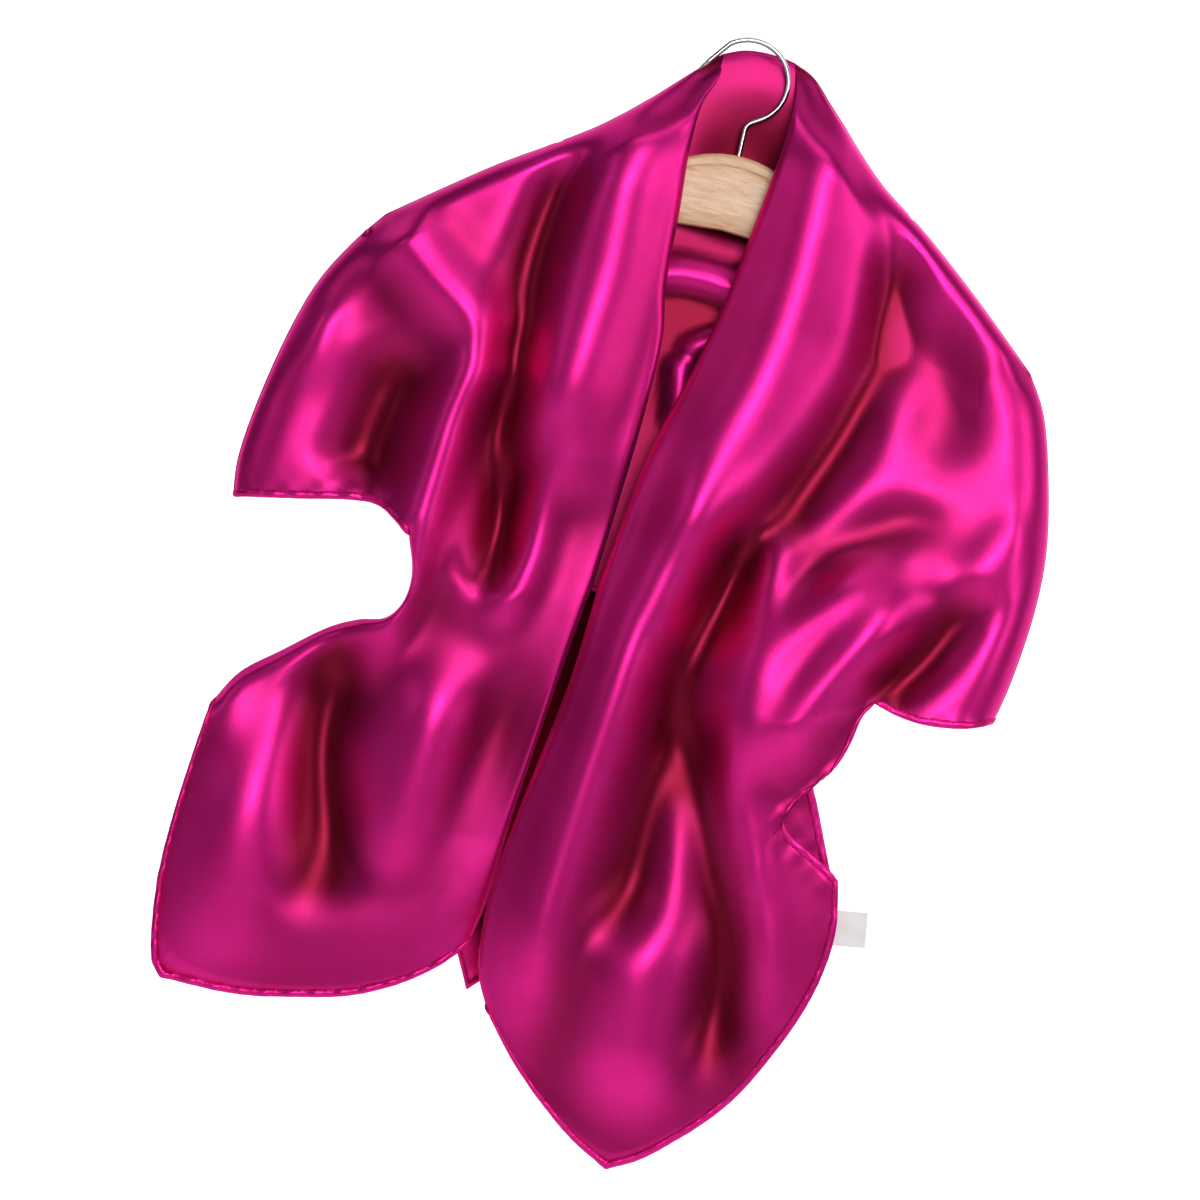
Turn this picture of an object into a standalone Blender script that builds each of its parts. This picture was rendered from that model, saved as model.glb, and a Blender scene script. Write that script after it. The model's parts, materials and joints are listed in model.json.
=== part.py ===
"""Evening shawl hung on a wooden hanger.

A 90 cm satin square is folded on the diagonal and hung round the neck of a wooden hanger, the
fold forming two soft lapels. Each stretch of cloth is an open surface, given its wall by
Solidify. In front view a stretch fills its own outline, in X and Z, and its depth in Y is a base
drape plus the folds of its table. Front is -Y, and the origin is the inside top of the hook.
Sizes in the tables are millimetres, and the model is in metres.
"""
import math

import bpy
import numpy as np
from mathutils import Vector

MM = 0.001
MODEL = "evening_shawl"

# ------------------------------------------------------------------ driving sizes, millimetres
WALL = 1.6                  # cloth wall
SEAM_GAP = 0.3              # between two stretches of cloth
LAPEL_ROLL = 3.6            # radius of the soft fold along the lapels
RETURN_WIDTH = 9.0          # how far the lapel's under layer runs back
LAPEL_GROWS = 26.0          # height over which the roll grows below the neck
SEAM_LIP = 1.6              # flat lip beside a seam, so that the two rims stand square
SHOULDER_ROUND = 13.0       # distance over which the cloth rounds off the shoulder line
SIDE_ROUND = 26.0           # the same at the side folds
NECK_X = 7.0                # middle of the neck
NECK_BACK = 10.0            # the neck fold lies this far behind the hook
NECK_SLOPE = 26.0           # the lapels come forward over this distance from the neck
NECK_HALF = 20.0            # half width of the neck
NECK_FADE = 42.0            # width over which the neck passes into the shoulders
FOLDS_FROM_SHOULDER = 22.0  # the fronts' folds die over this distance from the shoulder line
FOLDS_FROM_SIDE = 24.0      # and over this one from the side folds
BACK_FOLDS_FROM_SHOULDER = 26.0

COVERED_TOP = -236.0        # below this the right front covers the left one's inner strip
COVERED_DROP = 60.0         # height over which it starts to
COVERED_EDGE = -62.0        # outer edge of that strip
COVERED_WIDTH = 30.0
COVERED_CALM = 0.75         # share of the folds that it loses there
COVERED_DEPTH = 3.0         # how much deeper it lies
BITE_ROLL = 8.0             # how far back the left front's rolled edge turns
BITE_ROUND = 12.0           # and over what distance

BACK_NECK_REACH = 5.0       # distance over which the back rounds off the neck fold
BACK_NECK_FULL = 4.0        # how far it stands out there
BACK_NECK_LENGTH = 120.0    # it fills out to the full depth over this height
NECK_SETTLE = 0.35          # share by which the neck comes forward below the fold
NECK_SETTLE_LENGTH = 90.0
INNER_ROLL = 2.4            # the inner layer rolls forward by this from the neck fold
INNER_ROUND = 5.0
INNER_FADE = 30.0
INNER_FOLD_SHARE = 0.6      # share of its folds' height
INNER_LEAN = 1.0            # it leans back by this over its height
INNER_LEAN_LENGTH = 120.0

HANGER_THICK = 12.0
HANGER_CENTRE_X = 8.0
HANGER_REACH = 186.0        # centre to tip
CROWN_TOP = -66.0
CROWN_RADIUS = 62.0
ARM_TIP_TOP = -148.5
CENTRE_HEIGHT = 43.0
TIP_HEIGHT = 24.0
HANGER_EDGE = 2.0
HANGER_FOOT_HALF = 28.0     # half width of the level part of the lower edge
HANGER_FOOT_RISE = 2.0      # the lower edge is arched by this
ARM_SLOPE = 26.0            # degrees

WIRE = 3.0
HOOK_RADIUS = 23.6          # centre line of the ring
HOOK_CENTRE = (3.0, -22.1)  # x, z; the inside top of the ring is at the origin
HOOK_START = 128.0          # degrees, where the ring runs out straight to its free tip
HOOK_TIP = (-25.5, -21.5)
HOOK_END = -58.0            # degrees, where the ring turns into the stem
STEM_SEAT = 12.0            # stem length inside the wood
STEM_BEND = ((11.0, -46.5), (8.6, -49.5), (8.0, -54.0), (8.0, -62.0))
BORE_ABOVE = 6.0            # the bore's cutter stands this far out of the wood

LABEL_WIDTH = 24.0
LABEL_HEIGHT = 20.0
LABEL_THICK = 1.0
LABEL_TUCK = 4.0            # width that the hem covers
LABEL_EDGE_X = 153.0
LABEL_Z = -482.0
LABEL_LEAN = 8.0            # degrees

# mesh cells along the lines of each front: rows above the waist, rows below it, columns along
# the waist, columns along the flap's hem, and columns on the inner hem
CELLS_LEFT = (20, 17, 15, 7, 8)
CELLS_RIGHT = (20, 18, 16, 6, 7)
LAPEL_FIRST_ROW = 7         # the lapel's under layer starts at this row
BACK_CELLS = (15, 4, 23)    # along a shoulder, along the neck, and down
INNER_CELLS = (22, 12)      # down and across

# ------------------------------------------------------------------ outlines, (x, z) in front view
SHOULDER_LEFT = ((-14, -9), (-27, -22), (-49, -45), (-73, -66), (-99, -84), (-125, -101),
                 (-152, -121), (-182, -144))
SHOULDER_RIGHT = ((28, -5), (40, -11), (56, -28), (89, -61), (125, -87), (163, -118), (199, -150))
SIDE_LEFT = ((-182, -144), (-196, -163), (-211, -190), (-221, -222), (-229, -262), (-233, -297),
             (-231, -321))
SIDE_RIGHT = ((199, -150), (212, -172), (223, -208), (231, -248), (232, -285), (228, -325),
              (223, -350))
NECK = ((-14, -9), (-3, -4.5), (8, -3), (20, -3.5), (28, -5))

LAPEL_LEFT = ((-14, -9), (-13, -17), (-14, -26), (-18, -37), (-20, -50), (-20, -76), (-18, -106),
              (-16, -148), (-11, -181), (-12, -232), (-15, -280), (-18, -322))
LAPEL_LEFT_LOW = ((-18, -322), (-25, -380), (-32, -450), (-36, -510), (-41, -539))
LAPEL_RIGHT = ((28, -5), (30.5, -14), (32, -30), (31, -57), (28, -83), (24, -112), (17, -158),
               (8, -198), (-3, -240), (-10, -284), (-15, -325))
LAPEL_RIGHT_LOW = ((-15, -325), (-19, -382), (-30, -455), (-36, -508), (-33, -549), (-23, -572))

WAIST_LEFT = ((-18, -322), (-60, -336), (-95, -334), (-126, -321))
WAIST_RIGHT = ((-15, -325), (30, -352), (80, -372), (120, -368), (152, -354))
FLAP_HEM_LEFT = ((-231, -321), (-194, -314), (-165, -308), (-146, -308), (-126, -321))
FLAP_HEM_RIGHT = ((223, -350), (205, -356), (185, -359), (168, -358), (152, -354))
BITE_LEFT = ((-126, -321), (-120, -340), (-121, -357), (-129, -369), (-145, -374), (-162, -383),
             (-184, -401), (-204, -418), (-216, -438))
BITE_RIGHT = ((152, -354), (146, -364), (143, -380), (137, -396), (123, -412), (116, -424),
              (120, -436), (140, -447), (154, -456))
HEM_LEFT_BOTTOM = ((-41, -539), (-52, -553), (-75, -571), (-102, -584), (-130, -591),
                   (-164, -597), (-208, -597))
HEM_LEFT_OUTER = ((-208, -597), (-216, -585), (-222, -545), (-222, -510), (-220, -480),
                  (-216, -438))
HEM_RIGHT_INNER = ((-23, -572), (2, -601), (35, -629), (63, -645))
HEM_RIGHT_OUTER = ((63, -645), (86, -631), (121, -595), (143, -554), (155, -520), (159, -487),
                   (154, -456))
BACK_HEM_LEFT = ((-231, -321), (-195, -309), (-152, -300), (-116, -318), (-102, -372),
                 (-80, -455), (-60, -520), (-37, -569))
BACK_HEM_RIGHT = ((-37, -569), (10, -520), (50, -468), (92, -418), (124, -378), (150, -346),
                  (186, -350), (223, -350))

INNER_TOP = ((-7, -5.8), (-1, -4), (8, -3), (18, -3.3), (23, -4))
INNER_LEFT = ((-7, -5.8), (-13, -22), (-26, -46), (-50, -90), (-72, -150), (-74, -230), (-66, -318))
INNER_RIGHT = ((23, -4), (32, -22), (42, -46), (66, -90), (88, -150), (90, -230), (80, -318))
INNER_FOOT = ((-66, -318), (-30, -326), (10, -330), (50, -326), (80, -318))

# how far each stretch stands out from the seam plane, (z, depth)
FULLNESS_RIGHT = ((0, 17), (-60, 18), (-100, 20), (-160, 20), (-220, 26), (-280, 33),
                  (-360, 35), (-480, 33), (-645, 28))
FULLNESS_LEFT = ((0, 17), (-60, 18), (-100, 20), (-160, 18), (-220, 17), (-280, 15),
                 (-360, 14), (-480, 12), (-600, 14))
FULLNESS_BACK = ((0, 9), (-60, 12), (-120, 14), (-220, 18), (-320, 21), (-450, 18), (-570, 10))

# ------------------------------------------------------------------ folds
# name, path of the crest (x, z) from its top down, width on the viewer's right of the path when
# it runs down the page, width on the left, height (below 0 a valley), share of the path over
# which it grows, share over which it dies, and 1 for a crisp crest or 0 for a round one.
FOLDS_LEFT = (
    ("lapel", ((-44, -52), (-50, -100), (-50, -150), (-54, -195), (-56, -240), (-50, -272)),
     30, 36, 13.0, 0.10, 0.25, 0.0),
    ("lapel valley", ((-72, -68), (-86, -104), (-94, -145), (-94, -190), (-88, -225),
                      (-85, -262), (-79, -300), (-75, -338)),
     20, 20, -9.0, 0.15, 0.10, 0.0),
    ("heart", ((-46, -238), (-42, -262), (-38, -290)), 26, 26, 8.0, 0.45, 0.45, 0.0),
    ("shoulder crease", ((-180, -150), (-162, -167), (-143, -182), (-122, -195), (-100, -208)),
     36, 20, 14.0, 0.05, 0.15, 0.2),
    ("front ridge", ((-98, -208), (-107, -226), (-113, -250), (-116, -290), (-119, -330),
                     (-126, -360), (-128, -400)),
     19, 30, 16.0, 0.12, 0.25, 0.2),
    ("swag right arm", ((-66, -262), (-59, -290), (-58, -320), (-66, -352)),
     16, 18, 9.0, 0.25, 0.25, 0.0),
    ("waist valley", ((-48, -372), (-52, -420), (-60, -470), (-75, -520), (-92, -560)),
     16, 18, -8.0, 0.2, 0.2, 0.0),
    ("skirt ridge", ((-98, -372), (-90, -420), (-92, -470), (-104, -520), (-122, -570)),
     26, 24, 9.0, 0.25, 0.2, 0.0),
    ("skirt valley", ((-131, -392), (-147, -418), (-149, -446), (-142, -478), (-128, -506),
                      (-110, -532), (-98, -556)),
     22, 20, -12.0, 0.15, 0.25, 0.0),
    ("skirt dome", ((-176, -440), (-180, -490), (-178, -540), (-172, -590)),
     30, 30, 8.0, 0.3, 0.2, 0.0),
    ("flap ridge", ((-204, -200), (-206, -230), (-206, -262)), 18, 16, 5.0, 0.3, 0.5, 0.0),
    ("flap hollow", ((-150, -215), (-160, -250), (-166, -296)), 26, 24, -10.0, 0.2, 0.1, 0.0),
)
FOLDS_RIGHT = (
    ("lapel", ((46, -34), (58, -80), (58, -130), (52, -178), (40, -222), (26, -262), (10, -300)),
     27, 33, 15.0, 0.10, 0.25, 0.0),
    ("lapel shadow", ((106, -84), (110, -130), (108, -175), (95, -220), (80, -260), (62, -300)),
     24, 18, -11.0, 0.12, 0.25, 0.0),
    ("finger", ((40, -228), (32, -258), (22, -300), (12, -345), (6, -400), (0, -470), (-4, -540),
                (0, -596)),
     17, 17, 13.0, 0.08, 0.20, 0.0),
    ("finger shadow", ((60, -262), (50, -300), (38, -340), (34, -400), (34, -470), (30, -540)),
     16, 16, -9.0, 0.15, 0.2, 0.0),
    ("swag", ((79, -270), (78, -310), (70, -350), (52, -366)), 16, 16, 9.0, 0.25, 0.3, 0.0),
    ("fan valley", ((50, -384), (64, -410), (84, -452), (104, -500), (106, -550), (96, -592)),
     20, 22, -12.0, 0.15, 0.2, 0.0),
    ("fan ridge", ((140, -270), (122, -292), (98, -328), (84, -366), (82, -406), (96, -446),
                   (112, -486), (126, -524), (130, -560)),
     18, 18, 14.0, 0.15, 0.2, 0.0),
    ("tube", ((158, -276), (150, -296), (134, -326), (116, -358), (104, -390), (106, -420)),
     22, 20, 16.0, 0.10, 0.30, 0.0),
    ("tube shadow", ((178, -254), (150, -248), (126, -260), (104, -284), (92, -314)),
     14, 20, -9.0, 0.2, 0.25, 0.0),
    ("flap valley", ((196, -272), (184, -306), (168, -334), (150, -352)),
     18, 18, -11.0, 0.2, 0.1, 0.0),
    ("shoulder hollow", ((120, -120), (150, -180), (168, -226)), 30, 30, -7.0, 0.3, 0.3, 0.0),
    ("tail dome", ((52, -470), (56, -530), (64, -600)), 30, 26, 8.0, 0.3, 0.2, 0.0),
)
FOLDS_BACK = (
    ("centre ridge", ((6, -60), (0, -180), (-8, -300), (-20, -430), (-34, -540)),
     34, 34, 12.0, 0.25, 0.1, 0.0),
    ("left valley", ((-40, -110), (-50, -220), (-58, -340), (-64, -450)),
     26, 26, -8.0, 0.3, 0.1, 0.0),
    ("right valley", ((52, -110), (54, -220), (46, -340), (24, -460)),
     26, 26, -8.0, 0.3, 0.1, 0.0),
    ("left ridge", ((-150, -150), (-128, -210), (-106, -280), (-90, -360)),
     30, 26, 10.0, 0.15, 0.1, 0.2),
    ("right ridge", ((164, -156), (142, -220), (118, -290), (94, -370)),
     26, 30, 10.0, 0.15, 0.1, 0.2),
    ("left flap valley", ((-186, -190), (-172, -240), (-160, -290)),
     20, 20, -6.0, 0.3, 0.1, 0.0),
    ("right flap valley", ((196, -200), (184, -260), (160, -330)),
     20, 20, -6.0, 0.3, 0.1, 0.0),
    ("neck swag", ((-44, -74), (-16, -92), (24, -94), (56, -74)), 20, 20, 5.0, 0.3, 0.3, 0.0),
)
FOLDS_INNER = (
    ("cross fold", ((-40, -150), (-10, -139), (24, -141), (56, -152)), 16, 16, -5.0, 0.2, 0.2, 0.0),
    ("long hollow", ((20, -40), (22, -80), (14, -120)), 20, 20, 3.0, 0.3, 0.3, 0.0),
)

# ------------------------------------------------------------------ colours, linear
FUCHSIA = (0.60, 0.012, 0.22, 1.0)
FUCHSIA_INNER = (0.48, 0.008, 0.17, 1.0)
BEECH = (0.77, 0.50, 0.30, 1.0)
STEEL = (0.62, 0.63, 0.65, 1.0)
LABEL_WHITE = (0.86, 0.85, 0.87, 1.0)


# ------------------------------------------------------------------ lines and grids
def smooth_line(points, count):
    """Points, count + 1 of them and evenly spaced, along a Catmull-Rom curve."""
    knots = np.asarray(points, dtype=float)
    padded = np.vstack([2 * knots[0] - knots[1], knots, 2 * knots[-1] - knots[-2]])
    t = np.linspace(0.0, 1.0, 16, endpoint=False)[:, None]
    pieces = []
    for i in range(len(knots) - 1):
        a, b, c, d = padded[i:i + 4]
        pieces.append(0.5 * (2 * b + (c - a) * t + (2 * a - 5 * b + 4 * c - d) * t ** 2
                             + (3 * b - a - 3 * c + d) * t ** 3))
    fine = np.vstack(pieces + [knots[-1:]])
    steps = np.linalg.norm(np.diff(fine, axis=0), axis=1)
    along = np.concatenate([[0.0], np.cumsum(steps)])
    wanted = np.linspace(0.0, along[-1], count + 1)
    return np.column_stack([np.interp(wanted, along, fine[:, k]) for k in range(fine.shape[1])])


def join_lines(*runs):
    """Runs laid end to end, each starting where the last one stops."""
    return np.vstack([runs[0]] + [run[1:] for run in runs[1:]])


def fill_outline(top, foot, start, end, rounds=60):
    """Grid of (x, z) inside four lines: top and foot run across, start and end run down."""
    rows = len(start) - 1
    cols = len(top) - 1
    v = np.linspace(0.0, 1.0, rows + 1)[:, None, None]
    u = np.linspace(0.0, 1.0, cols + 1)[None, :, None]
    across = (1 - v) * top[None] + v * foot[None]
    down = (1 - u) * start[:, None] + u * end[:, None]
    corners = ((1 - u) * (1 - v) * top[0] + u * (1 - v) * top[-1]
               + (1 - u) * v * foot[0] + u * v * foot[-1])
    grid = across + down - corners
    for _ in range(rounds):
        grid[1:-1, 1:-1] = 0.25 * (grid[:-2, 1:-1] + grid[2:, 1:-1]
                                   + grid[1:-1, :-2] + grid[1:-1, 2:])
    return grid


def add_lines(grid, axis, at_end, shares):
    """Grid with lines added in its first or last cell, at the given shares of that cell."""
    turned = np.swapaxes(grid, 0, axis)
    if at_end:
        turned = turned[::-1]
    extra = [turned[0] * (1 - s) + turned[1] * s for s in shares]
    turned = np.concatenate([turned[:1], np.array(extra), turned[1:]])
    if at_end:
        turned = turned[::-1]
    return np.swapaxes(turned, 0, axis)


# ------------------------------------------------------------------ distances and folds
def nearest(points, path):
    """Distance to a path, the side (+1 on its left going forward) and the share along it."""
    start = path[:-1]
    step = path[1:] - start
    length = np.linalg.norm(step, axis=1)
    before = np.concatenate([[0.0], np.cumsum(length)])
    best = np.full(len(points), np.inf)
    side = np.ones(len(points))
    share = np.zeros(len(points))
    for i in range(len(start)):
        offset = points - start[i]
        t = np.clip(offset @ step[i] / max(length[i] ** 2, 1e-9), 0.0, 1.0)
        away = offset - t[:, None] * step[i]
        gap = np.hypot(away[:, 0], away[:, 1])
        closer = gap < best
        best = np.where(closer, gap, best)
        turn = step[i][0] * offset[:, 1] - step[i][1] * offset[:, 0]
        side = np.where(closer, np.where(turn >= 0, 1.0, -1.0), side)
        share = np.where(closer, (before[i] + t * length[i]) / before[-1], share)
    return best, side, share


def ease(x):
    """Smooth step from 0 to 1."""
    x = np.clip(x, 0.0, 1.0)
    return x * x * (3 - 2 * x)


def fold_relief(points, folds):
    """Sum of the folds' heights at the points."""
    total = np.zeros(len(points))
    for _name, path, wide_a, wide_b, height, grow, die, crisp in folds:
        line = smooth_line(path, 6 * (len(path) - 1))
        gap, side, share = nearest(points, line)
        wide = np.where(side > 0, wide_a, wide_b)
        q = np.clip(gap / wide, 0.0, 1.0)
        bump = (1 - q * q) ** 2
        tent = (1 - q) ** 2 * (1 + 0.6 * q)
        rise = ease(share / grow) * ease((1 - share) / die)
        total += height * rise * ((1 - crisp) * bump + crisp * tent)
    return total


def near_neck(x):
    """1 at the neck, 0 on the shoulders."""
    return 1 - ease((np.abs(x - NECK_X) - NECK_HALF) / NECK_FADE)


def half_round(q):
    """Quarter circle: 0 at the edge, 1 where the surface has turned flat."""
    q = np.clip(q, 0.0, 1.0)
    return np.sqrt(1 - (1 - q) ** 2)


def lapel_lift(points, lapel):
    """How far the lapel's own edge turns back, growing down from the neck."""
    gap, _side, _share = nearest(points, lapel)
    grown = ease((lapel[0, 1] - points[:, 1]) / LAPEL_GROWS)
    return LAPEL_ROLL * grown * (1 - half_round(gap / LAPEL_ROLL))


def body_depth(points, shoulder, side, fullness):
    """Depth of a sheet that starts on the shoulder line and side fold and stands out by fullness."""
    to_shoulder, _s, _t = nearest(points, shoulder)
    to_side, _s, _t = nearest(points, side)
    neck = near_neck(points[:, 0])
    over_shoulder = (1 - neck) * half_round(to_shoulder / SHOULDER_ROUND)
    over_shoulder += neck * ease(to_shoulder / NECK_SLOPE)
    seam = NECK_BACK * neck * (1 - ease(to_shoulder / NECK_SLOPE))
    return seam, fullness * over_shoulder * half_round(to_side / SIDE_ROUND)


def edge_fade(points, shoulder, side):
    """0 on the shoulder line and side fold, 1 away from them, so that folds die there."""
    to_shoulder, _s, _t = nearest(points, shoulder)
    to_side, _s, _t = nearest(points, side)
    return ease(to_shoulder / FOLDS_FROM_SHOULDER) * ease(to_side / FOLDS_FROM_SIDE)


def front_fullness(z, levels):
    """How far a front stands out at each height, from a short table of (z, depth)."""
    heights, depths = zip(*sorted(levels))
    return np.interp(z, heights, depths)


def depth_left(points):
    """Depth of the left front; the strip that the right front covers lies deeper."""
    shoulder = smooth_line(SHOULDER_LEFT, 24)
    side = smooth_line(SIDE_LEFT, 18)
    lapel = join_lines(smooth_line(LAPEL_LEFT, 40), smooth_line(LAPEL_LEFT_LOW, 20))
    full = front_fullness(points[:, 1], FULLNESS_LEFT)
    seam, out = body_depth(points, shoulder, side, full)
    relief = fold_relief(points, FOLDS_LEFT) * edge_fade(points, shoulder, side)
    covered = ease((COVERED_TOP - points[:, 1]) / COVERED_DROP)
    covered *= ease((points[:, 0] - COVERED_EDGE) / COVERED_WIDTH)
    relief *= 1 - COVERED_CALM * covered
    bite, _s, _t = nearest(points, smooth_line(BITE_LEFT, 30))
    rolled = BITE_ROLL * (1 - half_round(bite / BITE_ROUND))
    return seam - out - relief + COVERED_DEPTH * covered + rolled + lapel_lift(points, lapel)


def depth_right(points):
    """Depth of the right front, which laps over the left one."""
    shoulder = smooth_line(SHOULDER_RIGHT, 24)
    side = smooth_line(SIDE_RIGHT, 18)
    lapel = join_lines(smooth_line(LAPEL_RIGHT, 40), smooth_line(LAPEL_RIGHT_LOW, 20))
    full = front_fullness(points[:, 1], FULLNESS_RIGHT)
    seam, out = body_depth(points, shoulder, side, full)
    relief = fold_relief(points, FOLDS_RIGHT) * edge_fade(points, shoulder, side)
    return seam - out - relief + lapel_lift(points, lapel)


def depth_back(points):
    """Depth of the back, whose top edge is the neck fold between the two shoulder lines."""
    shoulder = join_lines(smooth_line(SHOULDER_LEFT, 24)[::-1], smooth_line(NECK, 8),
                          smooth_line(SHOULDER_RIGHT, 24))
    sides = [nearest(points, smooth_line(line, 18))[0] for line in (SIDE_LEFT, SIDE_RIGHT)]
    to_side = np.minimum(*sides)
    to_shoulder, _s, _t = nearest(points, shoulder)
    neck = near_neck(points[:, 0])
    seam = NECK_BACK * neck * (1 - NECK_SETTLE * ease(to_shoulder / NECK_SETTLE_LENGTH))
    full = front_fullness(points[:, 1], FULLNESS_BACK)
    reach = SHOULDER_ROUND * (1 - neck) + BACK_NECK_REACH * neck
    filled = BACK_NECK_FULL + (full - BACK_NECK_FULL) * ease(to_shoulder / BACK_NECK_LENGTH)
    full = full * (1 - neck) + neck * filled
    out = full * half_round(to_shoulder / reach) * half_round(to_side / SIDE_ROUND)
    fade = ease(to_shoulder / BACK_FOLDS_FROM_SHOULDER) * ease(to_side / FOLDS_FROM_SIDE)
    return seam + out + fold_relief(points, FOLDS_BACK) * fade


def depth_inner(points):
    """Depth of the inner layer, just in front of the back and behind the hanger."""
    to_neck, _s, _t = nearest(points, smooth_line(NECK, 8))
    roll = INNER_ROLL * half_round(to_neck / INNER_ROUND)
    fade = ease(to_neck / INNER_FADE)
    rest = NECK_BACK - roll + INNER_LEAN * ease(to_neck / INNER_LEAN_LENGTH)
    return rest + INNER_FOLD_SHARE * fold_relief(points, FOLDS_INNER) * fade


# ------------------------------------------------------------------ objects
def material(name, colour, roughness, metallic=0.0):
    """Principled material with a plain colour."""
    made = bpy.data.materials.new(name)
    made.use_nodes = True
    made.diffuse_color = colour
    shader = made.node_tree.nodes["Principled BSDF"]
    shader.inputs["Base Color"].default_value = colour
    shader.inputs["Roughness"].default_value = roughness
    shader.inputs["Metallic"].default_value = metallic
    return made


def keep(obj, collection, surface):
    """Put an object in the model's collection with its own material, shaded smooth."""
    for home in list(obj.users_collection):
        home.objects.unlink(obj)
    collection.objects.link(obj)
    obj.data.materials.clear()
    obj.data.materials.append(surface)
    return obj


def lay_grids(name, grids, flip):
    """Mesh of quads over one or more grids of (x, y, z) points in millimetres."""
    corners = []
    faces = []
    places = {}

    def corner(point):
        key = tuple(np.round(point, 3))
        if key not in places:
            places[key] = len(corners)
            corners.append(Vector(point) * MM)
        return places[key]

    for grid in grids:
        numbers = [[corner(point) for point in row] for row in grid]
        for upper, lower in zip(numbers[:-1], numbers[1:]):
            for i in range(len(upper) - 1):
                loop = [upper[i], lower[i], lower[i + 1], upper[i + 1]]
                loop = list(dict.fromkeys(loop))
                if len(loop) > 2:
                    faces.append(loop[::-1] if flip else loop)
    mesh = bpy.data.meshes.new(name)
    mesh.from_pydata(corners, [], faces)
    mesh.update()
    return bpy.data.objects.new(name, mesh)


def give_wall(obj, thickness=WALL):
    """Wall behind the modelled surface, so that the surface stays the outside."""
    wall = obj.modifiers.new("cloth wall", "SOLIDIFY")
    wall.thickness = thickness * MM
    wall.offset = -1.0
    wall.use_even_offset = False


def with_depth(grid, depth):
    """Grid of (x, z) turned into (x, y, z) by a depth function."""
    flat = grid.reshape(-1, 2)
    y = depth(flat).reshape(grid.shape[:2])
    return np.dstack([grid[..., 0], y, grid[..., 1]])


def add_lips(grid, sides, sign):
    """Grid of (x, y, z) with a lip along its top, start or end, square to the seam there."""
    top, start, end = (int(side in sides) for side in ("top", "start", "end"))
    padded = np.pad(grid, ((top, 0), (start, end), (0, 0)), mode="edge")
    step = np.full(padded.shape[:2], 0.0)
    step[top, :] = SEAM_LIP * top
    if start:
        step[top:, 1] = SEAM_LIP
    if end:
        step[top:, -2] = SEAM_LIP
    if top:
        step[0, :] = SEAM_GAP / 2
    if start:
        step[:, 0] = SEAM_GAP / 2
    if end:
        step[:, -1] = SEAM_GAP / 2
    padded[..., 1] += sign * step
    return padded


def under_layer(edge, inward):
    """Rows that carry a lapel's edge round its roll and back beneath the face."""
    turns = [math.radians(a) for a in (45, 90)]
    rows = []
    for turn in turns:
        across = LAPEL_ROLL * (1 - math.cos(turn))
        back = LAPEL_ROLL * math.sin(turn)
        rows.append(edge + np.column_stack([inward[:, 0] * across, np.full(len(edge), back),
                                            inward[:, 1] * across]))
    for reach in (0.5, 1.0):
        across = LAPEL_ROLL + RETURN_WIDTH * reach
        rows.append(edge + np.column_stack([inward[:, 0] * across,
                                            np.full(len(edge), LAPEL_ROLL + 0.4 * reach),
                                            inward[:, 1] * across]))
    return rows


def with_under_layer(grid, first_row, inward_sign):
    """Grid with the lapel's under layer added before its first column, from first_row down."""
    edge = grid[first_row:, 0]
    run = np.gradient(edge[:, [0, 2]], axis=0)
    run /= np.linalg.norm(run, axis=1)[:, None]
    inward = np.column_stack([run[:, 1], -run[:, 0]]) * inward_sign
    rows = under_layer(edge, inward)
    return np.stack([edge] + rows, axis=1)[:, ::-1]


def front(name, lines, depth, cells, inward_sign, flip):
    """One front: the upper part from shoulder to waist, the lower part from waist to hem."""
    shoulder, side, lapel, lapel_low, waist, flap_hem, bite, hem_inner, hem_outer = lines
    rows, low_rows, waist_cols, flap_cols, inner_cols = cells
    waist_line = smooth_line(waist, waist_cols)
    upper = fill_outline(smooth_line(shoulder, waist_cols + flap_cols),
                         join_lines(waist_line, smooth_line(flap_hem, flap_cols)[::-1]),
                         smooth_line(lapel, rows), smooth_line(side, rows))
    lower = fill_outline(waist_line,
                         join_lines(smooth_line(hem_inner, inner_cols),
                                    smooth_line(hem_outer, waist_cols - inner_cols)),
                         smooth_line(lapel_low, low_rows), smooth_line(bite, low_rows))
    upper = add_lines(upper, 1, False, (0.2, 0.5))
    lower = add_lines(lower, 1, False, (0.2, 0.5))
    upper = add_lines(upper, 1, True, (0.15, 0.45))
    upper = add_lines(upper, 0, False, (0.12, 0.4))
    upper = add_lips(with_depth(upper, depth), ("top", "end"), -1)
    lower = with_depth(lower, depth)
    strips = [with_under_layer(upper, LAPEL_FIRST_ROW, inward_sign),
              with_under_layer(lower, 0, inward_sign)]
    strips[1][0] = strips[0][-1]
    return lay_grids(name, [upper, lower] + strips, flip)


def build_fronts(collection):
    """Left and right front."""
    left = front("shawl_front_left",
                 (SHOULDER_LEFT, SIDE_LEFT, LAPEL_LEFT, LAPEL_LEFT_LOW, WAIST_LEFT,
                  FLAP_HEM_LEFT, BITE_LEFT, HEM_LEFT_BOTTOM, HEM_LEFT_OUTER),
                 depth_left, CELLS_LEFT, 1, True)
    right = front("shawl_front_right",
                  (SHOULDER_RIGHT, SIDE_RIGHT, LAPEL_RIGHT, LAPEL_RIGHT_LOW, WAIST_RIGHT,
                   FLAP_HEM_RIGHT, BITE_RIGHT, HEM_RIGHT_INNER, HEM_RIGHT_OUTER),
                  depth_right, CELLS_RIGHT, -1, False)
    for obj in (left, right):
        keep(obj, collection, material(obj.name + "_satin", FUCHSIA, 0.35))
        give_wall(obj)


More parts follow.
